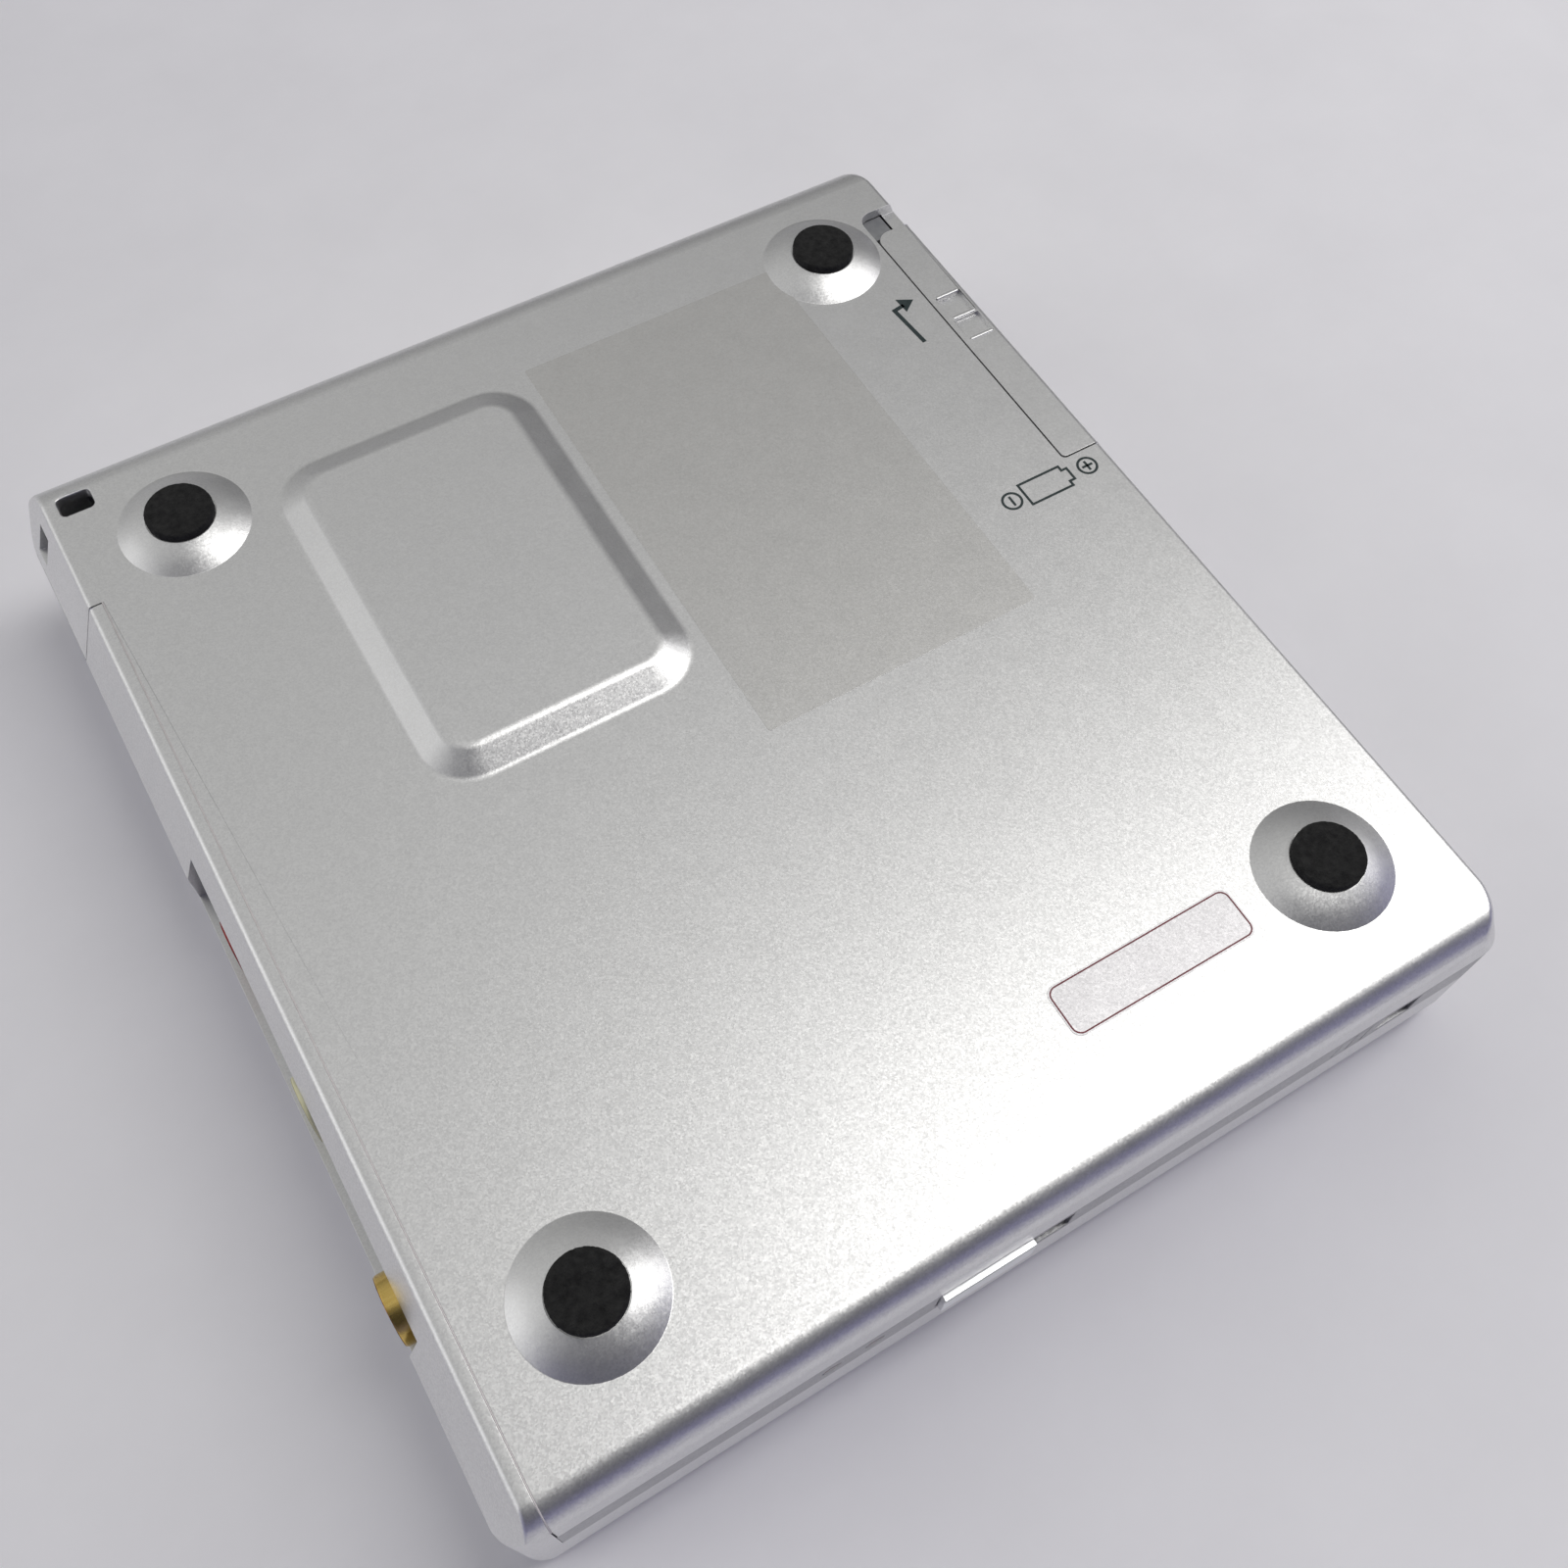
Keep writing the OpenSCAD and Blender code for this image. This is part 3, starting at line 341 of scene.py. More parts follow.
def flake_paint(name, dark, light, rough, lean, metal):
    """Sprayed flake paint: sparkle from leaning cells, cloudy tone, and lighter corners that are part painted
    highlight, part rubbed paint.
    """
    edge_light_tone = (0.9, 0.9, 0.9, 1.0)
    grain_depth = 0.0015
    material, shader, links = bare_material(name, Metallic=metal, Coat_Weight=0.06, Coat_Roughness=0.3)
    sparkle = grouped(material, flakes, Size=9500.0, Lean=lean)
    cloudy = grouped(material, mottle, Size=420.0)
    # Lighter colour on sharp corners: part painted edge highlight, part rubbed paint
    edge = grouped(material, edge_sheen_wear, Size=900.0)
    tone = toned(material, sparkle.outputs["Shade"], dark, light)
    edge_lightened = material.node_tree.nodes.new("ShaderNodeMix")
    edge_lightened.data_type = "RGBA"
    edge_lightened.inputs["B"].default_value = edge_light_tone
    links.new(edge.outputs["Mask"], edge_lightened.inputs["Factor"])
    links.new(tone, edge_lightened.inputs["A"])
    links.new(edge_lightened.outputs["Result"], shader.inputs["Base Color"])
    links.new(ranged(material, cloudy.outputs["Shade"], *rough), shader.inputs["Roughness"])
    fine = grouped(material, mottle, Size=2600.0)
    grain = embossed(material, fine.outputs["Shade"], grain_depth, sparkle.outputs["Normal"])
    links.new(grain, shader.inputs["Normal"])
    return material


silver_paint = flake_paint("silver_paint", (0.71, 0.71, 0.708), (0.81, 0.81, 0.806), (0.39, 0.43), 0.05, 0.94)
lid_edge_r = 0.24
rim_share = 0.3
lid_end_x = 20
lid_round_top = 2.6


def lid_face_edge(mid):
    """The full rounding for the edges of the lid's face at its two ends."""
    return 1.0 if mid.z < lid_round_top and abs(mid.x) > lid_end_x else None


dressed("lid_panel", "lid_shell", "lid", silver_paint, lid_edge_r, rim_share, lid_face_edge)

# Lid frame
# A moulded grey frame inside the lid, with the hinge ears and the catch. It carries the keys and the display.


def moulded(name, dark, light, rough, size=1300.0, depth=0.006, **constants):
    """Moulded plastic: a fine spark-eroded grain and slightly uneven gloss."""
    material, shader, links = bare_material(name, **constants)
    grain = grouped(material, mottle, Size=size)
    links.new(toned(material, grain.outputs["Shade"], dark, light), shader.inputs["Base Color"])
    links.new(ranged(material, grain.outputs["Shade"], *rough), shader.inputs["Roughness"])
    links.new(embossed(material, grain.outputs["Shade"], depth), shader.inputs["Normal"])
    return material


def kept(node, material):
    """A CAD node that shows as it is, with its own finish."""
    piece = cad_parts[node]
    if not piece.material_slots:
        piece.data.materials.append(material)
    piece.material_slots[0].link = "OBJECT"
    piece.material_slots[0].material = material


lid_plastic = moulded("lid_plastic", (0.3, 0.31, 0.33), (0.36, 0.37, 0.39), (0.5, 0.62))
dressed("lid_frame", "lid_inner_frame", "lid", lid_plastic, width=0.06)

# Display
# A smoked window flush with the lid, a grey-green display cell behind it and an amber film circuit over both.
smoke_dark = (0.012, 0.013, 0.015)
smoke_light = (0.02, 0.021, 0.024)
smoked_window = moulded("smoked_window", smoke_dark, smoke_light, (0.05, 0.12), size=300.0, depth=0.0006)
display_cell = moulded("display_cell", (0.2, 0.25, 0.21), (0.24, 0.3, 0.25), (0.25, 0.4))
amber_film = moulded("amber_film", (0.36, 0.17, 0.03), (0.5, 0.25, 0.06), (0.3, 0.45))
dressed("display_window", "display_pane", "lid", smoked_window, width=0.1)
kept("display_module", display_cell)
kept("control_flex", amber_film)

# Lid keys
# Four round keys of plated plastic. Each stands a little below the lid's face and is held by a flange inside.
plating_dark = (0.6, 0.61, 0.63)
plating_light = (0.7, 0.71, 0.73)
plated_key = moulded("plated_key", plating_dark, plating_light, (0.2, 0.3), 900.0, 0.002, Metallic=0.85)
for key in ("back", "play", "stop", "forward"):
    dressed(key + "_button", key + "_key_cap", key + "_key", plated_key, width=0.25)

# Disc holder
# A folded tray of plated sheet steel with two leaf springs. It swings on the lid's hinge pins.


def drawn_metal(name, dark, light, rough, metal=1.0, size=500.0):
    """Rolled or ground metal: fine lines along one way and cloudy wear."""
    line_stretch = (1.0, 14.0, 1.0)
    line_depth = 0.003
    material, shader, links = bare_material(name, Metallic=metal)
    where = material.node_tree.nodes.new("ShaderNodeTexCoord")
    along = material.node_tree.nodes.new("ShaderNodeMapping")
    along.inputs["Scale"].default_value = line_stretch
    links.new(where.outputs["Object"], along.inputs["Vector"])
    lines = material.node_tree.nodes.new("ShaderNodeTexNoise")
    lines.inputs["Scale"].default_value = size
    lines.inputs["Detail"].default_value = 4.0
    links.new(along.outputs["Vector"], lines.inputs["Vector"])
    cloudy = grouped(material, mottle, Size=260.0)
    links.new(toned(material, lines.outputs["Fac"], dark, light), shader.inputs["Base Color"])
    links.new(ranged(material, cloudy.outputs["Shade"], *rough), shader.inputs["Roughness"])
    links.new(embossed(material, lines.outputs["Fac"], line_depth), shader.inputs["Normal"])
    return material


pressed_steel = drawn_metal("pressed_steel", (0.5, 0.51, 0.53), (0.68, 0.69, 0.71), (0.28, 0.42))
spring_steel = drawn_metal("spring_steel", (0.55, 0.55, 0.56), (0.75, 0.75, 0.76), (0.18, 0.3))
ground_steel = drawn_metal("ground_steel", (0.58, 0.59, 0.6), (0.72, 0.73, 0.75), (0.12, 0.22), 1.0, 900.0)
dressed("disc_holder", "disc_tray", "holder", pressed_steel, width=0.06)
kept("holder_springs", spring_steel)
kept("hinge_pins", ground_steel)

# Magnetic head
# A thin spring-steel arm on the tray carries a black coil block, which follows the pickup.
socket_black = moulded("socket_black", (0.018, 0.018, 0.02), (0.032, 0.032, 0.035), (0.4, 0.55))
kept("head_arm", spring_steel)
kept("magnetic_head", socket_black)

# Chassis
# A stamped steel plate on four rubber dampers. The spindle motor, both shafts and the feed motor sit on it.
damper_rubber = moulded("damper_rubber", (0.02, 0.02, 0.022), (0.035, 0.035, 0.037), (0.7, 0.85))
screw_metal = drawn_metal("screw_metal", (0.34, 0.35, 0.36), (0.48, 0.49, 0.5), (0.25, 0.4))
dressed("chassis_plate", "chassis", "base", pressed_steel, width=0.06)
kept("dampers", damper_rubber)
kept("chassis_screws", screw_metal)

# Spindle and feed
# The disc motor with its turntable, and the small feed motor that drives the screw through two gears.
gear_nylon = moulded("gear_nylon", (0.7, 0.67, 0.58), (0.8, 0.77, 0.68), (0.35, 0.5))
gold_plate = drawn_metal("gold_plate", (0.62, 0.42, 0.1), (0.85, 0.63, 0.22), (0.2, 0.32))
for node in ("turntable", "guide_shaft", "sub_guide_shaft", "lead_screw"):
    kept(node, ground_steel)
for node in ("spindle_motor", "feed_motor"):
    kept(node, pressed_steel)
kept("feed_gear", gear_nylon)
kept("feed_nut", gear_nylon)
kept("motor_pinion", gold_plate)

# Pickup
# A die-cast sled with the lens under the disc. It slides on two ground shafts.
pickup_metal = drawn_metal("pickup_metal", (0.2, 0.21, 0.22), (0.3, 0.31, 0.32), (0.4, 0.55), 0.9, 300.0)
lens_coating = moulded("lens_coating", (0.1, 0.2, 0.26), (0.16, 0.3, 0.38), (0.04, 0.08), 200.0, 0.0003)
kept("pickup_body", pickup_metal)
kept("objective_lens", lens_coating)

# Circuit board
# A green board above the drive with black chips and a shield can. Four screws hold it to the frame's lugs.
solder_mask = moulded("solder_mask", (0.02, 0.11, 0.05), (0.035, 0.16, 0.08), (0.3, 0.45), 260.0, 0.004)
chip_resin = moulded("chip_resin", (0.02, 0.02, 0.022), (0.032, 0.032, 0.034), (0.5, 0.65))
kept("main_board", solder_mask)
kept("board_chips", chip_resin)
kept("board_screws", screw_metal)
kept("shield_can", pressed_steel)

# Rechargeable cell
# A flat cell in printed shrink film, between a sprung contact on the left and a plate on the door.
shrink_film = moulded("shrink_film", (0.05, 0.15, 0.34), (0.07, 0.2, 0.42), (0.2, 0.32), 150.0, 0.004)
dressed("battery", "flat_cell", "base", shrink_film, width=0.08)
kept("battery_spring", gold_plate)
kept("battery_plate", gold_plate)

# Base frame
# The moulded and painted middle frame. Its band shows all round between the lid and the bottom cover.
frame_paint = flake_paint("frame_paint", (0.38, 0.38, 0.39), (0.5, 0.5, 0.51), (0.36, 0.44), 0.12, 0.8)
dressed("base_frame", "middle_frame", "base", frame_paint, width=0.08)

# Opening tab, record switch and lamps
# A bright plain tab with its latch, a painted switch with fine grooves, and two small dark lamps.
bright_tab = drawn_metal("bright_tab", (0.82, 0.83, 0.84), (0.93, 0.94, 0.95), (0.26, 0.34), 1.0, 800.0)
lamp_tint = moulded("lamp_tint", (0.05, 0.012, 0.012), (0.08, 0.02, 0.02), (0.08, 0.16))
dressed("open_knob", "opening_tab", "latch", bright_tab, width=0.12)
dressed("rec_switch", "record_switch", "rec_slider", frame_paint, width=0.06)
dressed("indicator_lights", "wall_lamps", "base", lamp_tint, width=0.12)
kept("latch_plate", pressed_steel)
kept("latch_spring", spring_steel)

# Wall sockets
# Three black sockets behind the left wall, each with a coloured ring at its mouth, and a dark light port.
red_ring = moulded("red_ring", (0.42, 0.02, 0.018), (0.52, 0.035, 0.03), (0.3, 0.4))
yellow_ring = moulded("yellow_ring", (0.82, 0.79, 0.52), (0.9, 0.87, 0.6), (0.3, 0.4))
rings = (("headphone", "gold", gold_plate), ("mic", "red_ring", red_ring), ("dc", "yellow_ring", yellow_ring))
for node, slot, ring in rings:
    dressed(node + "_jack", node + "_socket_body", "base", socket_black, width=0.06)
    dressed(node + "_ring", node + "_socket_ring", "base", ring, width=0.15)
dressed("light_port", "light_port_pane", "base", smoked_window, width=0.06)

# Left side panel
# A separate painted strip that closes the left wall round the sockets. A fine seam parts it from the cover.
face_z = 16.4
brow_r = 0.9
# Shares of that rounding: along the seams, on the outer edges and round the strap hole
seam_share = 0.035
outer_share = 0.36
strap_share = 0.2
# Where the outer edges, the right-hand corners, the two ends and the strap hole begin
outer_x = 34.3
corner_x = 30.5
corner_y = 36
far_end_y = 37.2
near_end_y = -37.9
strap_x = -30
strap_y = 34
face_slack = 0.05
strap_slack = 0.1


def brow(mid):
    """How much of the rounding the outer edges of the face and the strap hole get."""
    if abs(mid.y) > corner_y and mid.x > corner_x:
        return outer_share
    if abs(mid.x) < outer_x:
        at_strap = mid.x < strap_x and mid.y > strap_y and mid.z > face_z - strap_slack
        return strap_share if at_strap else None
    at_end = mid.y > far_end_y or mid.y < near_end_y
    return outer_share if at_end or mid.z > face_z - face_slack else None


dressed("left_side_panel", "left_strip", "base", silver_paint, brow_r, seam_share, brow)

# The lip of the cover that shows in the seam. It follows the face and the near rounding.
lip_left, lip_right = -33.6, -33.5
lip_top, lip_foot = 0.025, 0.5
lip_far_y, lip_near_y = 27.0, -38.0
near_round = 2
turn_step, quarter_turn = 6, 90
lip_corners = [(lip_left, lip_top), (lip_right, lip_top), (lip_right, lip_foot), (lip_left, lip_foot)]
seam_run = [(lip_far_y, face_z, 0), (lip_near_y, face_z, 0)]
for lean in range(turn_step, quarter_turn + 1, turn_step):
    turn = math.radians(lean)
    out = lip_near_y - near_round * math.sin(turn)
    seam_run.append((out, face_z - near_round + near_round * math.cos(turn), lean))
seam_lip = bmesh.new()
rows = []
for y, z, lean in seam_run:
    inward = Vector((0, math.sin(math.radians(lean)), -math.cos(math.radians(lean))))
    rows.append([seam_lip.verts.new((Vector((x, y, z)) + inward * depth) * MM) for x, depth in lip_corners])
for before, after in zip(rows, rows[1:]):
    for i in range(len(lip_corners)):
        j = (i + 1) % len(lip_corners)
        seam_lip.faces.new((before[i], after[i], after[j], before[j]))
seam_lip.faces.new(rows[0])
seam_lip.faces.new(list(reversed(rows[-1])))
bmesh.ops.recalc_face_normals(seam_lip, faces=seam_lip.faces)
pale_lip = moulded("pale_lip", (0.72, 0.68, 0.68), (0.8, 0.76, 0.76), (0.4, 0.5))
placed(seam_lip, "seam_lip", "base", pale_lip)

# Bottom cover
# A drawn aluminium cover in silver flake paint: four pressed domes for the feet, a raised panel, a strap hole
# in the far corner, and cut-outs for the cell door and the side strip.


def rounded_loop(half_x, half_y, radius, height, steps=14):
    """The points of a rounded rectangle about the origin, from its right side on."""
    loop = []
    for turn, (sx, sy) in enumerate(((1, 1), (-1, 1), (-1, -1), (1, -1))):
        for i in range(steps + 1):
            angle = math.pi / 2 * (turn + i / steps)
            x = sx * (half_x - radius) + radius * math.cos(angle)
            y = sy * (half_y - radius) + radius * math.sin(angle)
            loop.append((x, y, height))
    return loop


def lofted(loops, centre):
    """A closed solid through a stack of loops with as many points each."""
    shape = bmesh.new()
    rings = [[shape.verts.new((Vector(p) + centre) * MM) for p in loop] for loop in loops]
    count = len(rings[0])
    for low, high in zip(rings, rings[1:]):
        for i in range(count):
            j = (i + 1) % count
            shape.faces.new((low[i], low[j], high[j], high[i]))
    shape.faces.new(list(reversed(rings[0])))
    shape.faces.new(rings[-1])
    return shape


def loose(shape, name):
    """Turns a finished bmesh into an object that rides on no body."""
    mesh = bpy.data.meshes.new(name)
    shape.to_mesh(mesh)
    shape.free()
    item = bpy.data.objects.new(name, mesh)
    bpy.context.scene.collection.objects.link(item)
    return item


def carved(piece, tools):
    """Cuts and joins the tool solids into a piece for good, and drops the tools."""
    for way, tool in tools:
        step = piece.modifiers.new("form", "BOOLEAN")
        step.operation = way
        step.solver = "EXACT"
        step.object = tool
    applied(piece)
    for _, tool in tools:
        bpy.data.objects.remove(tool)


panel_centre = Vector((-10.15, 16.5, 0))
panel_half = (10.15, 15.0)
panel_rise = 1.0
slope_run = 2.5
slope_steps = 24
panel_corner = 3.9
least_corner = 1.4
corner_shrink = 0.95
# The skirt runs a little wider below the face, so that the panel grows out of the cover
skirt_out = 0.12
skirt_corner = 4.0
skirt_depth = 0.5
skirt_sink = 0.004
foot_lift = 0.001
# The slope has a soft foot, a straight run and a soft shoulder
foot_end = 0.16
foot_rise = 0.08
shoulder_start = 0.74
shoulder_run = 0.26
shoulder_rise = 0.66
full_rise = 0.79
skirt = (panel_half[0] + skirt_out, panel_half[1] + skirt_out, skirt_corner)
loops = [rounded_loop(*skirt, face_z - skirt_depth), rounded_loop(*skirt, face_z - skirt_sink)]
loops.append(rounded_loop(*panel_half, panel_corner, face_z + foot_lift))
for i in range(1, slope_steps + 1):
    run = i / slope_steps
    foot = min(run / foot_end, 1)
    shoulder = max((run - shoulder_start) / shoulder_run, 0)
    rise = foot_rise * foot * foot if run < foot_end else run - foot_rise
    if run > shoulder_start:
        rise = shoulder_rise + shoulder_run * (shoulder - shoulder * shoulder / 2)
    height = face_z + panel_rise * min(rise / full_rise, 1.0)
    inset = slope_run * run
    radius = max(panel_corner - inset * corner_shrink, least_corner)
    loops.append(rounded_loop(panel_half[0] - inset, panel_half[1] - inset, radius, height))
raised_panel = loose(lofted(loops, panel_centre), "raised_panel_form")

# The plain panel of the copied shape is cleared away first
clear_size = Vector((20.6, 30.3, 2.0))
clear_middle = panel_centre + Vector((0, 0, face_z + clear_size.z / 2))
clear = bmesh.new()
bmesh.ops.create_cube(clear, size=1.0)
bmesh.ops.scale(clear, vec=clear_size * MM, verts=clear.verts)
bmesh.ops.translate(clear, vec=clear_middle * MM, verts=clear.verts)
clear_tool = loose(clear, "panel_clearance")

# The right-hand corners grow rounder toward the face. A level is a height, a half width and a corner radius.
past_left = 20
half_depth = 40.04
levels = ((7.0, 36.54, 2.3), (11.4, 36.54, 2.34), (face_z, 34.53, 4.0), (18.5, 34.53, 4.0))
loops = [rounded_loop(side + past_left, half_depth, radius, height) for height, side, radius in levels]
corner_form = loose(lofted(loops, Vector((-past_left, 0, 0))), "corner_form")
cover_piece = placed(copied_mesh("bottom_cover"), "cover_shell", "base", silver_paint)
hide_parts("bottom_cover")
carved(cover_piece, [("DIFFERENCE", clear_tool), ("UNION", raised_panel), ("INTERSECT", corner_form)])
flat_limit = math.radians(0.2)
right_x = 30 * MM
corner_weld = 0.02 * MM
cover = bmesh.new()
cover.from_mesh(cover_piece.data)
bmesh.ops.dissolve_limit(cover, angle_limit=flat_limit, verts=cover.verts, edges=cover.edges)
bmesh.ops.remove_doubles(cover, verts=[v for v in cover.verts if v.co.x > right_x], dist=corner_weld)
marked(cover, brow_r, seam_share, brow)
cover.to_mesh(cover_piece.data)
cover.free()
eased(cover_piece, brow_r)

# Rubber feet
# Four discs punched from black foam rubber and stuck in the domes. Their cut edges are ragged.
foam_dark = (0.003, 0.003, 0.003)
foam_light = (0.03, 0.03, 0.029)
foam_rough = (0.75, 0.95)
foam_rubber = moulded("foam_rubber", foam_dark, foam_light, foam_rough, 1900.0, 0.14, Specular_IOR_Level=0.3)
pad_r = 2.4
pad_steps = 120
feet_x, feet_y = 26.3, 30.6
foot_seat, pad_top = [corner[2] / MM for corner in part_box("rubber_feet")]
# The pad's outline from its seat to its middle: a share of the radius and a height
pad_profile = (
    (1.0, foot_seat), (1.0, pad_top - 0.16), (0.985, pad_top - 0.06), (0.95, pad_top - 0.01),
    (0.8, pad_top), (0.55, pad_top), (0.25, pad_top),
)
pad_rim = 0.9
nick = 0.02
nick_room = 0.012
coarse_nicks, fine_nicks = 14, 45
dip_depth = 0.03
dips = 9
feet = bmesh.new()
for side_x in (-1, 1):
    for side_y in (-1, 1):
        middle = Vector((side_x * feet_x, side_y * feet_y, 0))
        rows = []
        for r, z in pad_profile:
            at_rim = r > pad_rim
            row = []
            for k in range(pad_steps):
                t = math.tau * k / pad_steps
                spot = Vector((math.cos(t), math.sin(t), 0))
                coarse = noise.noise(spot * coarse_nicks + middle)
                ragged = coarse / 2 + noise.noise(spot * fine_nicks + middle) / 2
                reach = min(pad_r * r * (1 + nick * ragged * at_rim - nick_room * at_rim), pad_r)
                dip = dip_depth * abs(noise.noise(spot * r * dips + middle)) if z == pad_top else 0.0
                row.append(feet.verts.new((middle + spot * reach + Vector((0, 0, z - dip))) * MM))
            rows.append(row)
        for low, high in zip(rows, rows[1:]):
            for k in range(pad_steps):
                j = (k + 1) % pad_steps
                feet.faces.new((low[k], low[j], high[j], high[k]))
        feet.faces.new(list(reversed(rows[0])))
        feet.faces.new(rows[-1])
foot_pads = placed(feet, "foot_pads", "base", foam_rubber)
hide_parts("rubber_feet")

# Cell door
# A painted door with a strip on the bottom face, finger grooves and a wall part. It slides far, then swings.
dressed("battery_door", "cell_door", "door", silver_paint, brow_r, seam_share, brow)
carriage_grey = moulded("carriage_grey", (0.2, 0.205, 0.215), (0.27, 0.275, 0.285), (0.4, 0.55))
dressed("door_slider", "door_carriage", "door_carrier", carriage_grey, width=0.08)
kept("door_hinge_pin", ground_steel)

# The grip ribs, each with a round back: across the rib and up from the face
rib_places = (17.98, 20.4, 22.82)
rib_ends = (32.0, 33.95)
rib_edge = 0.03
rib_half = [(0.15, -0.36), (0.15, 0.0), (0.11, 0.05), (0.04, 0.075)]
rib_arc = rib_half + [(-across, up) for across, up in reversed(rib_half)]
ribs = bmesh.new()
for rib_y in rib_places:
    ends = []
    for rib_x in rib_ends:
        spots = [Vector((rib_x, rib_y + across, face_z + up)) for across, up in rib_arc]
        ends.append([ribs.verts.new(spot * MM) for spot in spots])
    for i in range(len(rib_arc)):
        j = (i + 1) % len(rib_arc)
        ribs.faces.new((ends[0][i], ends[1][i], ends[1][j], ends[0][j]))
    ribs.faces.new(list(reversed(ends[0])))
    ribs.faces.new(ends[1])
bmesh.ops.recalc_face_normals(ribs, faces=ribs.faces)
marked(ribs, rib_edge)
eased(placed(ribs, "door_grip_ribs", "door", silver_paint), rib_edge)

# Printed signs
# Thin dark print on the cover: an arrow for the door, and a cell outline with plus and minus in circles.
print_ink = moulded("print_ink", (0.012, 0.026, 0.027), (0.026, 0.042, 0.043), (0.4, 0.55))
print_z = face_z + 0.012


def stroke(shape, points, width, closed=False, height=print_z):
    """A flat line of even width through points, with mitred corners."""
    least_lean = 0.35
    count = len(points)
    left, right = [], []
    for i, p in enumerate(points):
        before = points[i - 1] if closed or i > 0 else None
        after = points[(i + 1) % count] if closed or i < count - 1 else None
        ways = []
        if before is not None:
            ways.append((Vector(p) - Vector(before)).normalized())
        if after is not None:
            ways.append((Vector(after) - Vector(p)).normalized())
        way = sum(ways, Vector((0, 0))).normalized()
        side = Vector((-way.y, way.x))
        reach = width / 2 / max(side.dot(Vector((-ways[0].y, ways[0].x))), least_lean)
        left.append(shape.verts.new(Vector((*(Vector(p) + side * reach), height)) * MM))
        right.append(shape.verts.new(Vector((*(Vector(p) - side * reach), height)) * MM))
    for i in range(count if closed else count - 1):
        j = (i + 1) % count
        shape.faces.new((left[i], right[i], right[j], left[j]))


def ring_points(x, y, r, steps=40):
    """The points of a circle."""
    turns = [math.tau * k / steps for k in range(steps)]
    return [(x + r * math.cos(turn), y + r * math.sin(turn)) for turn in turns]


line = 0.19
arrow_line = 0.34
arrow_shaft = [(28.72, 19.45), (28.42, 23.3), (29.35, 23.45)]
arrow_tip = [(29.2, 22.75), (30.35, 23.6), (29.1, 24.25)]
sign_y = 3.4
plus_x, minus_x = 32.45, 25.75
circle_r = 0.72
bar_half = 0.45
cell_x0, cell_x1, cell_cap_x = 26.9, 30.5, 30.95
cell_half, cap_half = 0.98, 0.55
cell_half_line = [(cell_x0, -cell_half), (cell_x1, -cell_half), (cell_x1, -cap_half), (cell_cap_x, -cap_half)]
cell_line = cell_half_line + [(x, -off) for x, off in reversed(cell_half_line)]
signs = bmesh.new()
stroke(signs, arrow_shaft, arrow_line)
signs.faces.new([signs.verts.new(Vector((*p, print_z)) * MM) for p in arrow_tip])
stroke(signs, [(x, sign_y + off) for x, off in cell_line], line, True)
stroke(signs, ring_points(plus_x, sign_y, circle_r), line, True)
stroke(signs, ring_points(minus_x, sign_y, circle_r), line, True)
stroke(signs, [(plus_x - bar_half, sign_y), (plus_x + bar_half, sign_y)], line)
for bar_x in (plus_x, minus_x):
    stroke(signs, [(bar_x, sign_y - bar_half), (bar_x, sign_y + bar_half)], line)
bmesh.ops.recalc_face_normals(signs, faces=signs.faces)
placed(signs, "printed_signs", "base", print_ink)

# Bare label and number plate
# A clear film label and a small bordered plate, both blank, stuck flat on the cover.


def sheet_on_face(name, corners, radius, lift, material):
    """A thin sheet laid on the face, its edge turned down to the paint."""
    rim = lift * 0.7
    turn_in = lift * 0.4
    (x0, y0), (x1, y1) = corners
    half = Vector(((x1 - x0) / 2, (y1 - y0) / 2))
    loops = [rounded_loop(half.x, half.y, radius, face_z + up) for up in (0, rim)]
    loops.append(rounded_loop(half.x - turn_in, half.y - turn_in, radius, face_z + lift))
    shape = lofted(loops, Vector(((x0 + x1) / 2, (y0 + y1) / 2, 0)))
    settled(placed(shape, name, "base", material))


label_film = flake_paint("label_film", (0.62, 0.615, 0.6), (0.7, 0.695, 0.68), (0.42, 0.47), 0.05, 0.9)
film_lift = 0.03
label_corners = ((0.7, -4.5), (22.3, 31.7))
sheet_on_face("blank_label", label_corners, 0.25, film_lift, label_film)
plate_film = flake_paint("plate_film", (0.6, 0.59, 0.6), (0.7, 0.69, 0.7), (0.42, 0.47), 0.05, 0.85)
plate_corners = ((5.8, -32.2), (19.8, -28.6))
sheet_on_face("blank_plate", plate_corners, 0.7, film_lift, plate_film)
border_ink = moulded("border_ink", (0.16, 0.02, 0.03), (0.22, 0.03, 0.045), (0.4, 0.55))
border_x, border_y = 12.8, -30.4
border_half = (6.85, 1.65)
border_corner = 0.6
border_line = 0.1
border_z = face_z + 0.045
border_loop = rounded_loop(*border_half, border_corner, border_z, steps=8)
border = bmesh.new()
stroke(border, [(border_x + x, border_y + y) for x, y, _ in border_loop], border_line, True, border_z)
bmesh.ops.recalc_face_normals(border, faces=border.faces)
placed(border, "plate_border", "base", border_ink)

# Table, light and camera
# A pale paper table, two soft light panels high on the right, and the photo's view.
# The room round them is light grey on the far side and dim on the near side.
paper = moulded("table_paper", (0.9, 0.89, 0.92), (0.94, 0.93, 0.96), (0.7, 0.85), 60.0, 0.05)
table_half = 1500
table_drop = 0.05
sheet = bmesh.new()
bmesh.ops.create_grid(sheet, x_segments=1, y_segments=1, size=table_half * MM)
bmesh.ops.translate(sheet, vec=Vector((0, 0, -table_drop)) * MM, verts=sheet.verts)
table_top = loose(sheet, "table_top")
table_top.data.materials.append(paper)
table_top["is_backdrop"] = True

world = bpy.data.worlds.new("studio_air")
world.use_nodes = True
air = world.node_tree.nodes["Background"]
air.inputs["Strength"].default_value = 1.0


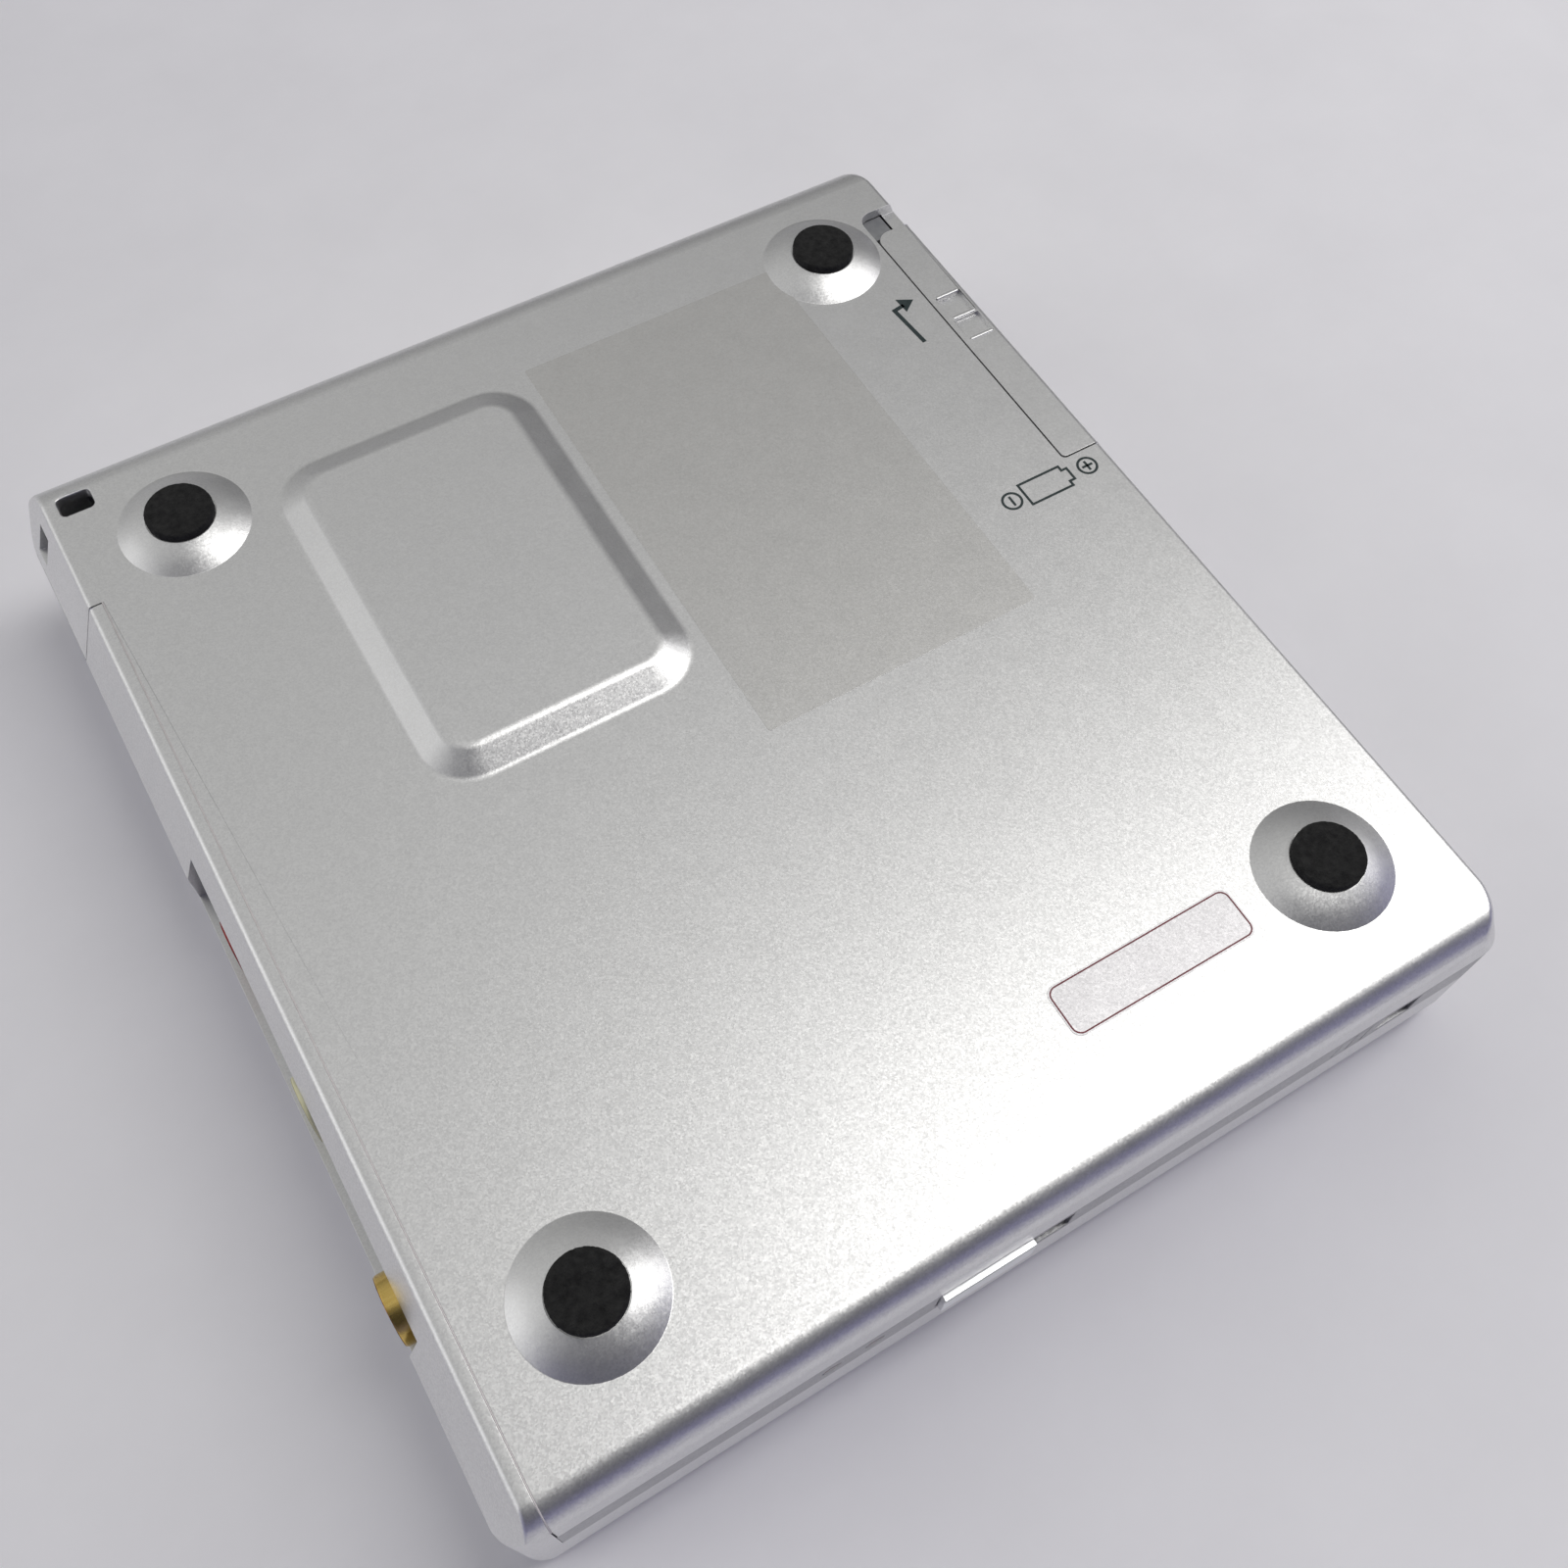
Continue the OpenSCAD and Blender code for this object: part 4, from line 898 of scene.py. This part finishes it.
def room_share(direction, start, end):
    """How far a line of sight leans one way: 0 at the start, 1 at the end."""
    toward = world.node_tree.nodes.new("ShaderNodeTexCoord")
    lean = world.node_tree.nodes.new("ShaderNodeVectorMath")
    lean.operation = "DOT_PRODUCT"
    lean.inputs[1].default_value = direction
    world.node_tree.links.new(toward.outputs["Generated"], lean.inputs[0])
    share = world.node_tree.nodes.new("ShaderNodeMapRange")
    share.interpolation_type = "SMOOTHSTEP"
    share.inputs["From Min"].default_value = start
    share.inputs["From Max"].default_value = end
    world.node_tree.links.new(lean.outputs["Value"], share.inputs["Value"])
    return share.outputs["Result"]


def room_mix(share, before, after):
    """A tone of the room between two others, each a plain colour or a mix made before."""
    node = world.node_tree.nodes.new("ShaderNodeMix")
    node.data_type = "RGBA"
    world.node_tree.links.new(share, node.inputs["Factor"])
    for label, tone in (("A", before), ("B", after)):
        if isinstance(tone, tuple):
            node.inputs[label].default_value = (*tone, 1.0)
        else:
            world.node_tree.links.new(tone, node.inputs[label])
    return node.outputs["Result"]


# Light grey on the far left and overhead, dimmer to the far right and near the far horizon
dim_grey = (0.055, 0.055, 0.06)
light_grey = (0.51, 0.51, 0.505)
left_and_up = room_share((-0.6, 0.0, 0.8), start=-0.45, end=0.75)
far_side = room_mix(left_and_up, dim_grey, light_grey)
# Dim on the near side, with a bluish strip along the near horizon
horizon_blue = (0.155, 0.15, 0.32)
near_dark = (0.05, 0.05, 0.058)
above_horizon = room_share((0.0, -0.3, 1.0), start=0.5, end=0.75)
near_side = room_mix(above_horizon, horizon_blue, near_dark)
far_half = room_share((0.0, 1.0, 0.0), start=-0.3, end=0.12)
room = room_mix(far_half, near_side, far_side)
# A pale window strip low on the left
window_white = (1.25, 1.25, 1.25)
window = room_share((-0.88, 0.36, 0.3), start=0.86, end=0.96)
room = room_mix(window, room, window_white)
world.node_tree.links.new(room, air.inputs["Color"])
bpy.context.scene.world = world


def soft_light(name, place, aim, size, power, colour):
    """A square-cornered light panel at a place, turned to what it lights."""
    lamp = bpy.data.lights.new(name, "AREA")
    lamp.shape = "RECTANGLE"
    lamp.size, lamp.size_y = size[0] * MM, size[1] * MM
    lamp.energy = power
    lamp.color = colour
    item = bpy.data.objects.new(name, lamp)
    item.location = Vector(place) * MM
    item.rotation_euler = (Vector(aim) - Vector(place)).to_track_quat("-Z", "Y").to_euler()
    bpy.context.scene.collection.objects.link(item)


warm_white = (1.0, 0.99, 0.97)
soft_white = (1.0, 0.99, 0.98)
soft_light("ceiling_panel", (213, -66, 519), aim=(5, -20, 16), size=(144, 345), power=0.97, colour=warm_white)
soft_light("side_panel", (430, -20, 360), aim=(0, 0, 0), size=(220, 220), power=0.42, colour=soft_white)

eye = Vector((-28.51, -50.14, 107.94))
look_at = Vector((-0.49, -8.37, 16.4))
roll = math.radians(-3.43)
view = bpy.data.cameras.new("photo_view")
view.lens = 36.94
view.sensor_width = 36.0
view.clip_start = 0.005
camera = bpy.data.objects.new("photo_view", view)
aim = (look_at - eye).to_track_quat("-Z", "Y").to_matrix().to_4x4()
camera.matrix_world = Matrix.Translation(eye * MM) @ aim @ Matrix.Rotation(-roll, 4, "Z")
bpy.context.scene.collection.objects.link(camera)
bpy.context.scene.camera = camera
bpy.context.scene.view_settings.view_transform = "Standard"

low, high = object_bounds()
